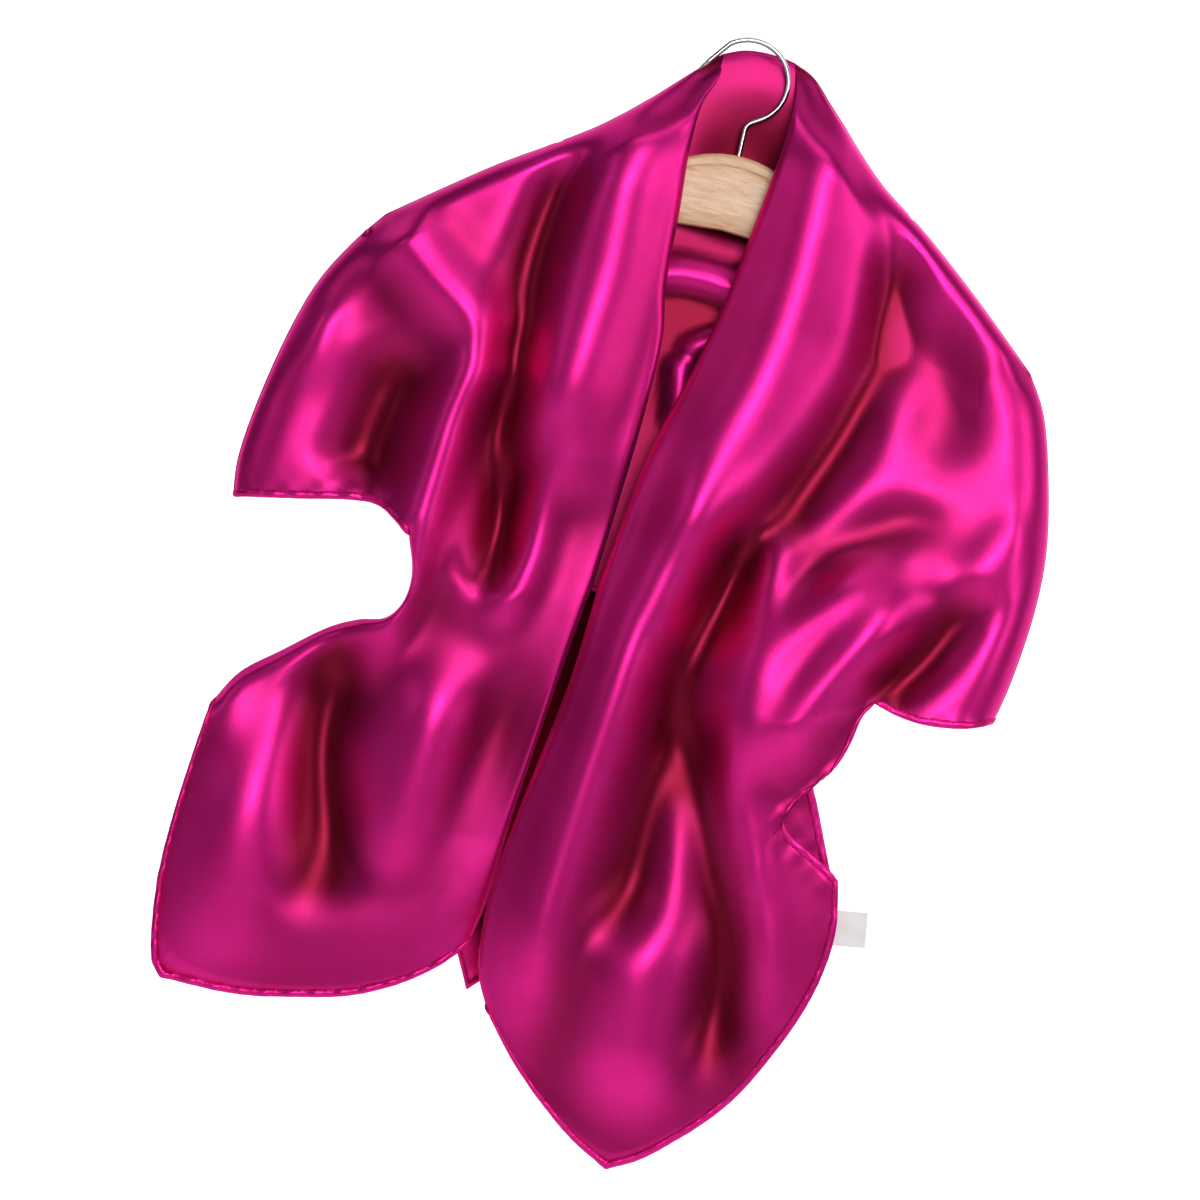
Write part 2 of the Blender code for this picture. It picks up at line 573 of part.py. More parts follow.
def build_back(collection):
    """Outer layer of the back, down to the shawl's back corner."""
    shoulder_cols, neck_cols, rows = BACK_CELLS
    top = join_lines(smooth_line(SHOULDER_LEFT, shoulder_cols)[::-1],
                     smooth_line(NECK, neck_cols),
                     smooth_line(SHOULDER_RIGHT, shoulder_cols))
    hem_cols = (2 * shoulder_cols + neck_cols) // 2
    foot = join_lines(smooth_line(BACK_HEM_LEFT, hem_cols), smooth_line(BACK_HEM_RIGHT, hem_cols))
    grid = fill_outline(top, foot, smooth_line(SIDE_LEFT, rows), smooth_line(SIDE_RIGHT, rows))
    grid = add_lines(grid, 0, False, (0.12, 0.4))
    grid = add_lines(grid, 1, False, (0.15, 0.45))
    grid = add_lines(grid, 1, True, (0.15, 0.45))
    grid = add_lips(with_depth(grid, depth_back), ("top", "start", "end"), 1)
    back = lay_grids("shawl_back", [grid], False)
    keep(back, collection, material("shawl_back_satin", FUCHSIA, 0.35))
    give_wall(back)


def build_inner(collection):
    """Inner layer of the back, which shows between the lapels."""
    rows, cols = INNER_CELLS
    grid = fill_outline(smooth_line(INNER_TOP, cols), smooth_line(INNER_FOOT, cols),
                        smooth_line(INNER_LEFT, rows), smooth_line(INNER_RIGHT, rows))
    grid = add_lips(with_depth(grid, depth_inner), ("top",), -1)
    inner = lay_grids("shawl_inner_back", [grid], True)
    keep(inner, collection, material("shawl_inner_satin", FUCHSIA_INNER, 0.35))
    give_wall(inner)


def hanger_outline():
    """Front outline of the wooden body: a crown, two sloping arms and round tips."""
    points = []
    tip_centre = (HANGER_REACH - TIP_HEIGHT / 2, ARM_TIP_TOP - TIP_HEIGHT / 2)
    for degrees in range(90, -95, -30):
        turn = math.radians(degrees - ARM_SLOPE)
        points.append((tip_centre[0] + TIP_HEIGHT / 2 * math.cos(turn),
                       tip_centre[1] + TIP_HEIGHT / 2 * math.sin(turn)))
    top = [(CROWN_RADIUS * math.sin(math.radians(a)),
            CROWN_TOP - CROWN_RADIUS * (1 - math.cos(math.radians(a)))) for a in (0, 6, 12, 18, 24)]
    foot = [(HANGER_FOOT_HALF, CROWN_TOP - CENTRE_HEIGHT - HANGER_FOOT_RISE),
            (0.0, CROWN_TOP - CENTRE_HEIGHT)]
    half = top + points + foot
    other = [(-x, z) for x, z in reversed(half) if x > 0.0]
    return [(x + HANGER_CENTRE_X, z) for x, z in half + other]


def build_hanger(collection):
    """Wooden body, cut from board with softened edges, bored for the hook."""
    curve = bpy.data.curves.new("hanger_outline", "CURVE")
    curve.dimensions = "2D"
    curve.fill_mode = "BOTH"
    curve.extrude = HANGER_THICK / 2 * MM
    outline = hanger_outline()
    spline = curve.splines.new("POLY")
    spline.points.add(len(outline) - 1)
    for point, (x, z) in zip(spline.points, outline):
        point.co = (x * MM, z * MM, 0.0, 1.0)
    spline.use_cyclic_u = True
    flat = bpy.data.objects.new("hanger_flat", curve)
    flat.rotation_euler = (math.radians(90), 0, 0)
    collection.objects.link(flat)
    bpy.context.view_layer.update()
    mesh = bpy.data.meshes.new_from_object(flat.evaluated_get(
        bpy.context.evaluated_depsgraph_get()))
    mesh.transform(flat.matrix_world)
    bpy.data.objects.remove(flat)
    body = bpy.data.objects.new("hanger_body", mesh)
    keep(body, collection, material("beech", BEECH, 0.5))
    weld = body.modifiers.new("weld", "WELD")
    weld.merge_threshold = 0.00005
    edge = body.modifiers.new("softened edge", "BEVEL")
    edge.width = HANGER_EDGE * MM
    edge.segments = 2
    edge.limit_method = "ANGLE"
    edge.angle_limit = math.radians(40)
    bore = bore_cutter()
    cut = body.modifiers.new("bore", "BOOLEAN")
    cut.operation = "DIFFERENCE"
    cut.object = bore
    return body


def bore_cutter():
    """Cutter for the hole that the hook's stem is driven into."""
    depth = STEM_SEAT + BORE_ABOVE
    bpy.ops.mesh.primitive_cylinder_add(
        vertices=16, radius=(WIRE / 2 + SEAM_GAP) * MM, depth=depth * MM,
        location=(HANGER_CENTRE_X * MM, 0, (CROWN_TOP - STEM_SEAT - SEAM_GAP + depth / 2) * MM))
    bore = bpy.context.object
    bore.name = "bore_cutter"
    bore.hide_render = True
    bore.display_type = "WIRE"
    helpers = bpy.data.collections.new("cutters")
    bpy.context.scene.collection.children.link(helpers)
    for home in list(bore.users_collection):
        home.objects.unlink(bore)
    helpers.objects.link(bore)
    return bore


def hook_route():
    """Centre line of the hook: free tip, ring, swan neck and stem down into the wood."""
    turns = np.radians(np.linspace(HOOK_START, HOOK_END, 22))
    ring = np.column_stack([HOOK_CENTRE[0] + HOOK_RADIUS * np.cos(turns),
                            HOOK_CENTRE[1] + HOOK_RADIUS * np.sin(turns)])
    foot = np.array([*STEM_BEND, (HANGER_CENTRE_X, CROWN_TOP - STEM_SEAT)])
    tip = np.array([HOOK_TIP, (ring[0] + np.array(HOOK_TIP)) / 2])
    return np.vstack([tip, ring, foot])


def build_hook(collection):
    """Hook bent from round wire."""
    curve = bpy.data.curves.new("hook_line", "CURVE")
    curve.dimensions = "3D"
    curve.bevel_depth = WIRE / 2 * MM
    curve.bevel_resolution = 2
    curve.use_fill_caps = True
    route = smooth_line(hook_route(), 48)
    spline = curve.splines.new("POLY")
    spline.points.add(len(route) - 1)
    for point, (x, z) in zip(spline.points, route):
        point.co = (x * MM, 0.0, z * MM, 1.0)
    hook = bpy.data.objects.new("hanger_hook", curve)
    keep(hook, collection, material("bright_wire", STEEL, 0.2, 1.0))


def build_label(collection):
    """Small bare label sewn under the right front's outer hem."""
    x = LABEL_EDGE_X + LABEL_WIDTH / 2
    z = LABEL_Z
    covered = np.array([(LABEL_EDGE_X + along, z + LABEL_HEIGHT * share)
                        for along in (-2.0, LABEL_TUCK) for share in (-0.5, 0.0, 0.5)])
    y = depth_right(covered).max() + WALL + SEAM_GAP + LABEL_THICK / 2
    bpy.ops.mesh.primitive_cube_add(size=1.0)
    label = bpy.context.object
    label.name = "label"
    label.scale = (LABEL_WIDTH * MM, LABEL_THICK * MM, LABEL_HEIGHT * MM)
    label.location = (x * MM, y * MM, z * MM)
    label.rotation_euler = (0, math.radians(LABEL_LEAN), 0)
    bpy.ops.object.transform_apply(location=False, rotation=False, scale=True)
    keep(label, collection, material("label_tape", LABEL_WHITE, 0.6))


def main():
    """Build every piece of the shawl and its hanger."""
    for obj in list(bpy.data.objects):
        bpy.data.objects.remove(obj)
    collection = bpy.data.collections.new(MODEL)
    bpy.context.scene.collection.children.link(collection)
    build_hanger(collection)
    build_hook(collection)
    build_fronts(collection)
    build_back(collection)
    build_inner(collection)
    build_label(collection)


main()
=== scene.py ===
"""Looks of the evening shawl on its wooden hanger.

A square of fuchsia charmeuse, folded on the diagonal, hangs round the neck of a beech hanger. The
cloth is drawn as it lies in front view: each stretch fills its outline in X and Z, and its depth
in Y is a base drape plus the folds of its table. Front is -Y. Table sizes are millimetres.
"""
import json
import logging
import math
from dataclasses import dataclass, field
from enum import Enum
from typing import Callable, Sequence

import bpy
import numpy as np
from mathutils import Vector
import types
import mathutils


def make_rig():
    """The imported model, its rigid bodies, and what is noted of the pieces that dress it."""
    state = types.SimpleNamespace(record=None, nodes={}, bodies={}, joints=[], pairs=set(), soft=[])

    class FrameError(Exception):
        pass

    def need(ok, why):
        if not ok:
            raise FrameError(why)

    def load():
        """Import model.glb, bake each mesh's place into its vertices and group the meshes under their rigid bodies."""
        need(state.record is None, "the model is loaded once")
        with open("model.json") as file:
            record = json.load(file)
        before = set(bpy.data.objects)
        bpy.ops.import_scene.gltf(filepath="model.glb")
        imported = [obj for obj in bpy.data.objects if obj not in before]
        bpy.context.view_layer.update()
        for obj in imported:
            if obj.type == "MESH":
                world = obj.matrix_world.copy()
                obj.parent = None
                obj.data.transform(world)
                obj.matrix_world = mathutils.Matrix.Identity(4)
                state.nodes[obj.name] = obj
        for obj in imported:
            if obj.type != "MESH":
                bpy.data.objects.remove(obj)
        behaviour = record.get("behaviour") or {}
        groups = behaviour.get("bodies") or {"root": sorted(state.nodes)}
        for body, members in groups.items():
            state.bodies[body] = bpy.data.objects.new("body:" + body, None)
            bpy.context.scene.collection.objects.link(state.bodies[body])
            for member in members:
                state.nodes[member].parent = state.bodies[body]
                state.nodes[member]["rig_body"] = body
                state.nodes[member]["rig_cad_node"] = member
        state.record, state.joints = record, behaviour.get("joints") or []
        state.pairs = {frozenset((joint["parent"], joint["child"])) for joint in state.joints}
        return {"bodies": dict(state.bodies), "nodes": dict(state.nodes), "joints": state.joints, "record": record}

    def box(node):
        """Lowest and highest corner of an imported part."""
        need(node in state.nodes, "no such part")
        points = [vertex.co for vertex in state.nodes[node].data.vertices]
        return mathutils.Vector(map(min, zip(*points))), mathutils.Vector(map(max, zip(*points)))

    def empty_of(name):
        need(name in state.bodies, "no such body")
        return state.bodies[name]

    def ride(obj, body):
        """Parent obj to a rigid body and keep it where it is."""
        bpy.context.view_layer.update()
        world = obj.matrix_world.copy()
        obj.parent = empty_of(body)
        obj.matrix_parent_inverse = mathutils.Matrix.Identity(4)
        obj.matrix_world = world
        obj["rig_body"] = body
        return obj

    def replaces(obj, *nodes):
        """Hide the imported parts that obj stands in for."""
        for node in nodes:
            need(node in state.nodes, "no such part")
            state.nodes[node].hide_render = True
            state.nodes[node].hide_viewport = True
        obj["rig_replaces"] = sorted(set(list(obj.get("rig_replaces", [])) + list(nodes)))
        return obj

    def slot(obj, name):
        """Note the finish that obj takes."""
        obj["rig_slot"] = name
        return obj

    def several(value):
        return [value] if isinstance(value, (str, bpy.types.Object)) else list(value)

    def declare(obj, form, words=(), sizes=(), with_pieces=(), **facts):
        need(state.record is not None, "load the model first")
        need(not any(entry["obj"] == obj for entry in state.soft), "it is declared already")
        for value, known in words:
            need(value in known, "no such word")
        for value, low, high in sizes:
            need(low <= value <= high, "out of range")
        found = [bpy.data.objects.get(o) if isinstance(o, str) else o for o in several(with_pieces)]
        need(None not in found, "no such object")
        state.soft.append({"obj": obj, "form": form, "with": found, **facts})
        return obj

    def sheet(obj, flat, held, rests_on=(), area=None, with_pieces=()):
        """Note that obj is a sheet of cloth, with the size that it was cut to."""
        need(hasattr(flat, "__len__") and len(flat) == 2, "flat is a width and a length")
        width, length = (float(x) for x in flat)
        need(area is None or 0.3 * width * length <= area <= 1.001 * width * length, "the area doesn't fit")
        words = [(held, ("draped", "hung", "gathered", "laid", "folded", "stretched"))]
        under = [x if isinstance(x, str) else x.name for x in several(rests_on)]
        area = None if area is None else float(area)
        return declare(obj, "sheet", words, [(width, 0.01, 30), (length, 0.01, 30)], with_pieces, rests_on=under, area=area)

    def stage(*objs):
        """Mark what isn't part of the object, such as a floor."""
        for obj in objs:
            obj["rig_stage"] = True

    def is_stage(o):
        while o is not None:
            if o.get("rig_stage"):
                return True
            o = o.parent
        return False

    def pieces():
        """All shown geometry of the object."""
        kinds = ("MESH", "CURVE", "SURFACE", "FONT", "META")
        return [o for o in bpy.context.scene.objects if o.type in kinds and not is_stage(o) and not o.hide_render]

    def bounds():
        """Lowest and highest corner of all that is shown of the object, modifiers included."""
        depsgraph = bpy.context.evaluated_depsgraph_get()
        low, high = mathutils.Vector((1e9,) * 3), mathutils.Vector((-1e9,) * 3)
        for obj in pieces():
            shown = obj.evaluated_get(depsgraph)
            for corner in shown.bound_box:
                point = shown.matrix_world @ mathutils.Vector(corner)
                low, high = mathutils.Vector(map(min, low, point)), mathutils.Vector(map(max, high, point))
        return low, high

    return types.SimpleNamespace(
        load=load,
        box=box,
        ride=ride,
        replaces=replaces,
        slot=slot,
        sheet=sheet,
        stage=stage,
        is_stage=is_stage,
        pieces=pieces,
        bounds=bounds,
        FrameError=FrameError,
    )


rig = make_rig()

LOG = logging.getLogger("evening_shawl")
MM = 0.001
SIZE_FILE = "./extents.json"
BODY = "root"

Points = Sequence[tuple[float, float]]
Depth = Callable[[np.ndarray], np.ndarray]

# ------------------------------------------------------------------ sizes of the cloth, mm
CELL = 3.4                  # mesh size along the cloth
CLOTH_THICK = 0.8           # two layers of satin
LAPEL_ROLL = 3.6            # radius of the soft fold along the lapels
LAPEL_TURNS = (20, 45, 70, 90)      # degrees at which the roll has its lines
LAPEL_GROWS = 26.0          # height over which the roll grows below the neck
LAPEL_START = 12            # row of the mesh where the under layer starts
RETURN_WIDTH = 9.0          # how far the under layer runs back
RETURN_SINK = 0.4           # how far it sinks on the way
SHOULDER_ROUND = 13.0       # distance over which the cloth rounds off the shoulder line
SIDE_ROUND = 26.0           # the same at the side folds
SHOULDER_CALM = 22.0        # the fronts' folds die over this distance from the shoulder
SIDE_CALM = 24.0            # and over this one from the side folds
NECK_X = 7.0                # middle of the neck
NECK_HALF = 20.0            # half width of the neck
NECK_FADE = 42.0            # distance over which the neck passes into the shoulders
NECK_BACK = 10.0            # the neck fold lies this far behind the hook
NECK_SLOPE = 26.0           # the lapels come forward over this distance from the neck
BITE_ROLL = 8.0             # how far back the left front's rolled edge turns
BITE_ROUND = 12.0           # and over what distance
EDGE_SHARES = (0.06, 0.25, 0.55)    # added mesh lines in the first cell of a rounded edge
LAPEL_SHARES = (0.12, 0.35, 0.65)   # the same along a lapel
ROUND_CELLS = 8             # cells more than the shoulder's length needs
ROUND_ROWS = 22             # rows more than the side's length needs
WAIST_LEFT_SHARE = 0.52     # share of the waist's columns that end on the inner hem
WAIST_RIGHT_SHARE = 0.44

# how the folds of the tables are laid
FOLD_DEPTH = 1.45           # how much deeper the folds are than their tables say
FOLD_SPREAD = 1.2           # and how much wider
TENT_FILL = 0.6             # how full a sharp crest's slopes are
UNEVEN = 1.5                # height of the soft unevenness between the folds
UNEVEN_WAVE = 62.0
UNEVEN_SEED = 0.4
SOFTEN_ROUNDS = 28          # how far the folds flow into each other
COVERED_TOP = -236.0        # below this the right front covers the left one's inner strip
COVERED_EDGE = -62.0
COVERED_FADE = (60.0, 30.0)     # distance over which the cover begins, down and across
COVERED_DEPTH = 3.0         # the covered strip lies this much deeper
COVERED_CALM = 0.75         # and loses this share of its folds
PUCKER = 0.8                # height of the puckers that the hem's stitching draws up
PUCKER_REACH = 17.0         # how far they run into the cloth
PUCKER_WAVE = 8.5
PUCKER_SEED = 0.7
PUCKER_CALM = 14.0          # distance from the side folds over which they start
WOOD_FACE = -8.2            # the fronts stay this far forward over the hanger
WOOD_HALF = 192.0
WOOD_TOP = -62.0
WOOD_FOOT = -180.0

# the back and the facing
BACK_RIDGES = 1.5           # how much higher the ridges of the back stand than in the solids
BACK_NECK_RISE = 0.35       # share of the neck's depth that the back loses going down
BACK_NECK_DROP = 90.0       # and over what distance
BACK_NECK_ROUND = 5.0       # how soon the back rounds off the neck fold
BACK_NECK_FULL = 4.0        # how full the back is at the neck
BACK_NECK_REACH = 120.0     # distance over which it comes to its whole fullness
BACK_CALM = 26.0            # its folds die over this distance from the shoulder
INNER_ROLL = 2.4            # the inner layer rolls this far forward of the neck fold
INNER_ROLL_REACH = 5.0
INNER_SINK = 1.0            # and sinks back this far
INNER_SINK_REACH = 120.0
INNER_CALM = 30.0           # its folds start over this distance from the neck
INNER_ROWS = 90
FACING_BEHIND = 3.4         # the inner layer at the right notch lies this far back
FACING_CELLS = (9, 24)      # mesh cells of the facing, across and down

# painted shade of the satin, from the folds: 0 on a ridge, 1 deep in a fold
PAINTED_SHADE_ROUNDS = 150         # how broad the surroundings are that a hollow is set against
PAINTED_SHADE_DEPTH = 10.0         # from the lightest ridge to the darkest painted shade in a fold
PAINTED_SHADE_FLAT = 0.44          # painted shade of flat cloth between the two
INSIDE_SHADE_FROM = 4.0           # depth behind which cloth that faces the viewer is the inside, and gets painted shade
INSIDE_SHADE_TONE = 0.45          # how much more painted shade it gets, for the shade of the fronts


class Hand(Enum):
    """Which front of the shawl it is, as the viewer sees it; the value turns its inward side."""

    LEFT = 1
    RIGHT = -1


@dataclass(frozen=True)
class Fold:
    """A ridge, or a valley where height is below 0, along a path of (x, z) from its top down."""

    name: str
    path: Points
    right: float            # reach on the viewer's right of a path that runs down
    left: float
    height: float
    grow: float             # share of the path over which it rises
    die: float              # share over which it dies away
    crisp: float            # 0 round, 1 a sharp crest

    def relief(self, points: np.ndarray) -> np.ndarray:
        """Height of this fold at each point.

        Args:
            points: Rows of (x, z).

        Returns:
            One height per row.
        """
        line = smooth_line(self.path, 8 * (len(self.path) - 1))
        reach = FOLD_SPREAD * max(self.right, self.left)
        low = line.min(axis=0) - reach
        high = line.max(axis=0) + reach
        near = np.all((points > low) & (points < high), axis=1)
        total = np.zeros(len(points))
        if not near.any():
            return total
        gap, side, share = nearest(points[near], line)
        wide = FOLD_SPREAD * (self.left + (self.right - self.left) * (0.5 + 0.5 * side))
        q = np.clip(gap / wide, 0.0, 1.0)
        bump = (1 - q * q) ** 2
        tent = (1 - q) ** 2 * (1 + TENT_FILL * q)
        rise = ease(share / self.grow) * ease((1 - share) / self.die)
        total[near] = self.height * rise * ((1 - self.crisp) * bump + self.crisp * tent)
        return total


# ------------------------------------------------------------------ lines, grids and distances
def along_run(line: np.ndarray) -> np.ndarray:
    """Length run at each row of a line, from 0 at its first one."""
    steps = np.linalg.norm(np.diff(line, axis=0), axis=1)
    return np.concatenate([[0.0], np.cumsum(steps)])


def spread_evenly(rows: np.ndarray, along: np.ndarray, wanted: np.ndarray) -> np.ndarray:
    """Rows read at the wanted lengths, where `along` holds the length at each of them."""
    return np.column_stack([np.interp(wanted, along, rows[:, k]) for k in range(rows.shape[1])])


def unit(rows: np.ndarray) -> np.ndarray:
    """The directions of the rows, each of length 1."""
    return rows / np.linalg.norm(rows, axis=1)[:, None]


def smooth_line(points: Points, count: int) -> np.ndarray:
    """Evenly spaced points along a Catmull-Rom curve.

    Args:
        points: The knots that the curve passes through.
        count: How many steps to cut it into.

    Returns:
        count + 1 rows.
    """
    knots = np.asarray(points, dtype=float)
    padded = np.vstack([2 * knots[0] - knots[1], knots, 2 * knots[-1] - knots[-2]])
    t = np.linspace(0.0, 1.0, 16, endpoint=False)[:, None]
    pieces = []
    for i in range(len(knots) - 1):
        a, b, c, d = padded[i:i + 4]
        pieces.append(0.5 * (2 * b + (c - a) * t + (2 * a - 5 * b + 4 * c - d) * t ** 2
                             + (3 * b - a - 3 * c + d) * t ** 3))
    fine = np.vstack(pieces + [knots[-1:]])
    along = along_run(fine)
    return spread_evenly(fine, along, np.linspace(0.0, along[-1], count + 1))


def join_lines(*runs: np.ndarray) -> np.ndarray:
    """Runs laid end to end, each starting where the last one stops."""
    return np.vstack([runs[0]] + [run[1:] for run in runs[1:]])


def line_length(points: Points) -> float:
    """Length of the smooth line through the points."""
    line = smooth_line(points, 60)
    return float(np.linalg.norm(np.diff(line, axis=0), axis=1).sum())


def cells_for(points: Points) -> int:
    """How many mesh cells fit along a line."""
    return max(4, round(line_length(points) / CELL))


def fill_outline(top: np.ndarray, foot: np.ndarray, start: np.ndarray, end: np.ndarray,
                 rounds: int = 250) -> np.ndarray:
    """Grid of (x, z) inside four lines.

    Args:
        top: The upper line, from start to end.
        foot: The lower line, from start to end.
        start: The line down the first side.
        end: The line down the other side.
        rounds: How often the inside is evened out.

    Returns:
        Rows x columns x 2.
    """
    v = np.linspace(0.0, 1.0, len(start))[:, None, None]
    u = np.linspace(0.0, 1.0, len(top))[None, :, None]
    across = (1 - v) * top[None] + v * foot[None]
    down = (1 - u) * start[:, None] + u * end[:, None]
    corners = ((1 - u) * (1 - v) * top[0] + u * (1 - v) * top[-1]
               + (1 - u) * v * foot[0] + u * v * foot[-1])
    grid = across + down - corners
    for _ in range(rounds):
        grid[1:-1, 1:-1] = 0.25 * (grid[:-2, 1:-1] + grid[2:, 1:-1]
                                   + grid[1:-1, :-2] + grid[1:-1, 2:])
    return grid


def add_lines(grid: np.ndarray, axis: int, at_end: bool, shares: Sequence[float]) -> np.ndarray:
    """Grid with lines added in its first or last cell, at the given shares of that cell."""
    turned = np.swapaxes(grid, 0, axis)
    if at_end:
        turned = turned[::-1]
    extra = [turned[0] * (1 - s) + turned[1] * s for s in shares]
    turned = np.concatenate([turned[:1], np.array(extra), turned[1:]])
    if at_end:
        turned = turned[::-1]
    return np.swapaxes(turned, 0, axis)


def nearest(points: np.ndarray, path: np.ndarray) -> tuple[np.ndarray, np.ndarray, np.ndarray]:
    """Where points lie beside a path.

    Args:
        points: Rows of (x, z).
        path: Rows of (x, z).

    Returns:
        The distance, the side (1 on the left going forward, -1 on the right) and the share
        along the path, each one value per point.
    """
    start = path[:-1]
    step = path[1:] - start
    length = np.linalg.norm(step, axis=1)
    before = np.concatenate([[0.0], np.cumsum(length)])
    best = np.full(len(points), np.inf)
    side = np.ones(len(points))
    share = np.zeros(len(points))
    for i in range(len(start)):
        offset = points - start[i]
        t = np.clip(offset @ step[i] / max(length[i] ** 2, 1e-9), 0.0, 1.0)
        away = offset - t[:, None] * step[i]
        gap = np.hypot(away[:, 0], away[:, 1])
        closer = gap < best
        best = np.where(closer, gap, best)
        turn = step[i][0] * offset[:, 1] - step[i][1] * offset[:, 0]
        side = np.where(closer, np.where(turn >= 0, 1.0, -1.0), side)
        share = np.where(closer, (before[i] + t * length[i]) / before[-1], share)
    return best, side, share


def distance(points: np.ndarray, line: Points) -> np.ndarray:
    """Distance from each point to a smooth line."""
    return nearest(points, smooth_line(line, 10 * (len(line) - 1)))[0]


def ease(x: np.ndarray) -> np.ndarray:
    """Smooth step from 0 to 1."""
    x = np.clip(x, 0.0, 1.0)
    return x * x * (3 - 2 * x)


def half_round(q: np.ndarray) -> np.ndarray:
    """Quarter circle: 0 at the edge, 1 where the surface has turned flat."""
    q = np.clip(q, 0.0, 1.0)
    return np.sqrt(1 - (1 - q) ** 2)


def near_neck(x: np.ndarray) -> np.ndarray:
    """1 at the neck, 0 on the shoulders."""
    return 1 - ease((np.abs(x - NECK_X) - NECK_HALF) / NECK_FADE)


def level(z: np.ndarray, table: Points) -> np.ndarray:
    """Value at each height, from a short table of (z, value)."""
    heights, values = zip(*sorted(table))
    return np.interp(z, heights, values)


def ripples(points: np.ndarray, wave: float, seed: float) -> np.ndarray:
    """Smooth uneven noise between about -1 and 1, the same on every run.

    Args:
        points: Rows of two coordinates in millimetres.
        wave: Rough wave length.
        seed: Shifts the pattern.

    Returns:
        One value per row.
    """
    x, z = points[:, 0] / wave, points[:, 1] / wave
    return (np.sin(2.1 * x + 1.3 * z + seed) * np.cos(1.7 * z - 0.8 * x + 2.3 * seed)
            + 0.6 * np.sin(3.7 * x - 2.9 * z + 1.9 * seed)
            + 0.4 * np.cos(5.3 * z + 4.1 * x + 0.7 * seed)) / 2.0


# ------------------------------------------------------------------ outlines, (x, z) in front view
SHOULDER_LEFT = ((-14, -9), (-27, -22), (-49, -45), (-73, -66), (-99, -84), (-125, -101),
                 (-152, -121), (-182, -144))
SHOULDER_RIGHT = ((28, -5), (40, -11), (56, -28), (89, -61), (125, -87), (163, -118), (199, -150))
SIDE_LEFT = ((-182, -144), (-196, -163), (-211, -190), (-221, -222), (-229, -262), (-233, -297),
             (-231, -321))
SIDE_RIGHT = ((199, -150), (212, -172), (223, -208), (231, -248), (232, -285), (228, -325),
              (223, -350))
NECK = ((-14, -9), (-3, -4.5), (8, -3), (20, -3.5), (28, -5))

LAPEL_LEFT = ((-14, -9), (-13, -17), (-14, -26), (-18, -37), (-20, -50), (-20, -76), (-18, -106),
              (-16, -148), (-11, -181), (-12, -232), (-15, -280), (-18, -322))
LAPEL_LEFT_LOW = ((-18, -322), (-25, -380), (-32, -450), (-36, -510), (-41, -539))
LAPEL_RIGHT = ((28, -5), (30.5, -14), (32, -30), (31, -57), (28, -83), (24, -112), (17, -158),
               (8, -198), (-3, -240), (-10, -284), (-15, -325))
LAPEL_RIGHT_LOW = ((-15, -325), (-19, -382), (-30, -455), (-36, -508), (-33, -549), (-23, -572))

WAIST_LEFT = ((-18, -322), (-60, -336), (-95, -334), (-126, -321))
WAIST_RIGHT = ((-15, -325), (30, -352), (80, -372), (120, -368), (152, -354))
FLAP_HEM_LEFT = ((-231, -321), (-194, -314), (-165, -308), (-146, -308), (-126, -321))
FLAP_HEM_RIGHT = ((223, -350), (205, -356), (185, -359), (168, -358), (152, -354))
BITE_LEFT = ((-126, -321), (-120, -340), (-121, -357), (-129, -369), (-145, -374), (-162, -383),
             (-184, -401), (-204, -418), (-216, -438))
BITE_RIGHT = ((152, -354), (146, -364), (143, -380), (137, -396), (123, -412), (116, -424),
              (120, -436), (140, -447), (154, -456))
HEM_LEFT_BOTTOM = ((-41, -539), (-52, -553), (-75, -571), (-102, -584), (-130, -591),
                   (-164, -597), (-208, -597))
HEM_LEFT_OUTER = ((-208, -597), (-216, -585), (-222, -545), (-222, -510), (-220, -480),
                  (-216, -438))
HEM_RIGHT_INNER = ((-23, -572), (2, -601), (35, -629), (63, -645))
HEM_RIGHT_OUTER = ((63, -645), (86, -631), (121, -595), (143, -554), (155, -520), (159, -487),
                   (154, -456))
BACK_HEM_LEFT = ((-231, -321), (-195, -309), (-152, -300), (-116, -318), (-102, -372),
                 (-80, -455), (-60, -520), (-37, -569))
BACK_HEM_RIGHT = ((-37, -569), (10, -520), (50, -468), (92, -418), (124, -378), (150, -346),
                  (186, -350), (223, -350))
INNER_LEFT = ((-14, -9), (-15, -22), (-26, -46), (-50, -90), (-72, -150), (-74, -230),
              (-66, -318))
INNER_RIGHT = ((28, -5), (33, -22), (42, -46), (66, -90), (88, -150), (90, -230), (80, -318))
INNER_FOOT = ((-66, -318), (-30, -326), (10, -330), (50, -326), (80, -318))

FACING_OUTER = ((123, -398), (133, -418), (141, -436), (150, -456))
FACING_INNER = ((104, -404), (100, -430), (112, -452), (130, -464))

# how far each stretch stands out from the seam plane, (z, depth)
FULLNESS_RIGHT = ((0, 17), (-60, 18), (-100, 20), (-160, 20), (-220, 26), (-280, 33),
                  (-360, 35), (-480, 33), (-645, 28))
FULLNESS_LEFT = ((0, 17), (-60, 18), (-100, 20), (-160, 18), (-220, 17), (-280, 15),
                 (-360, 14), (-480, 12), (-600, 14))
FULLNESS_BACK = ((0, 9), (-60, 12), (-120, 14), (-220, 18), (-320, 21), (-450, 18), (-570, 10))

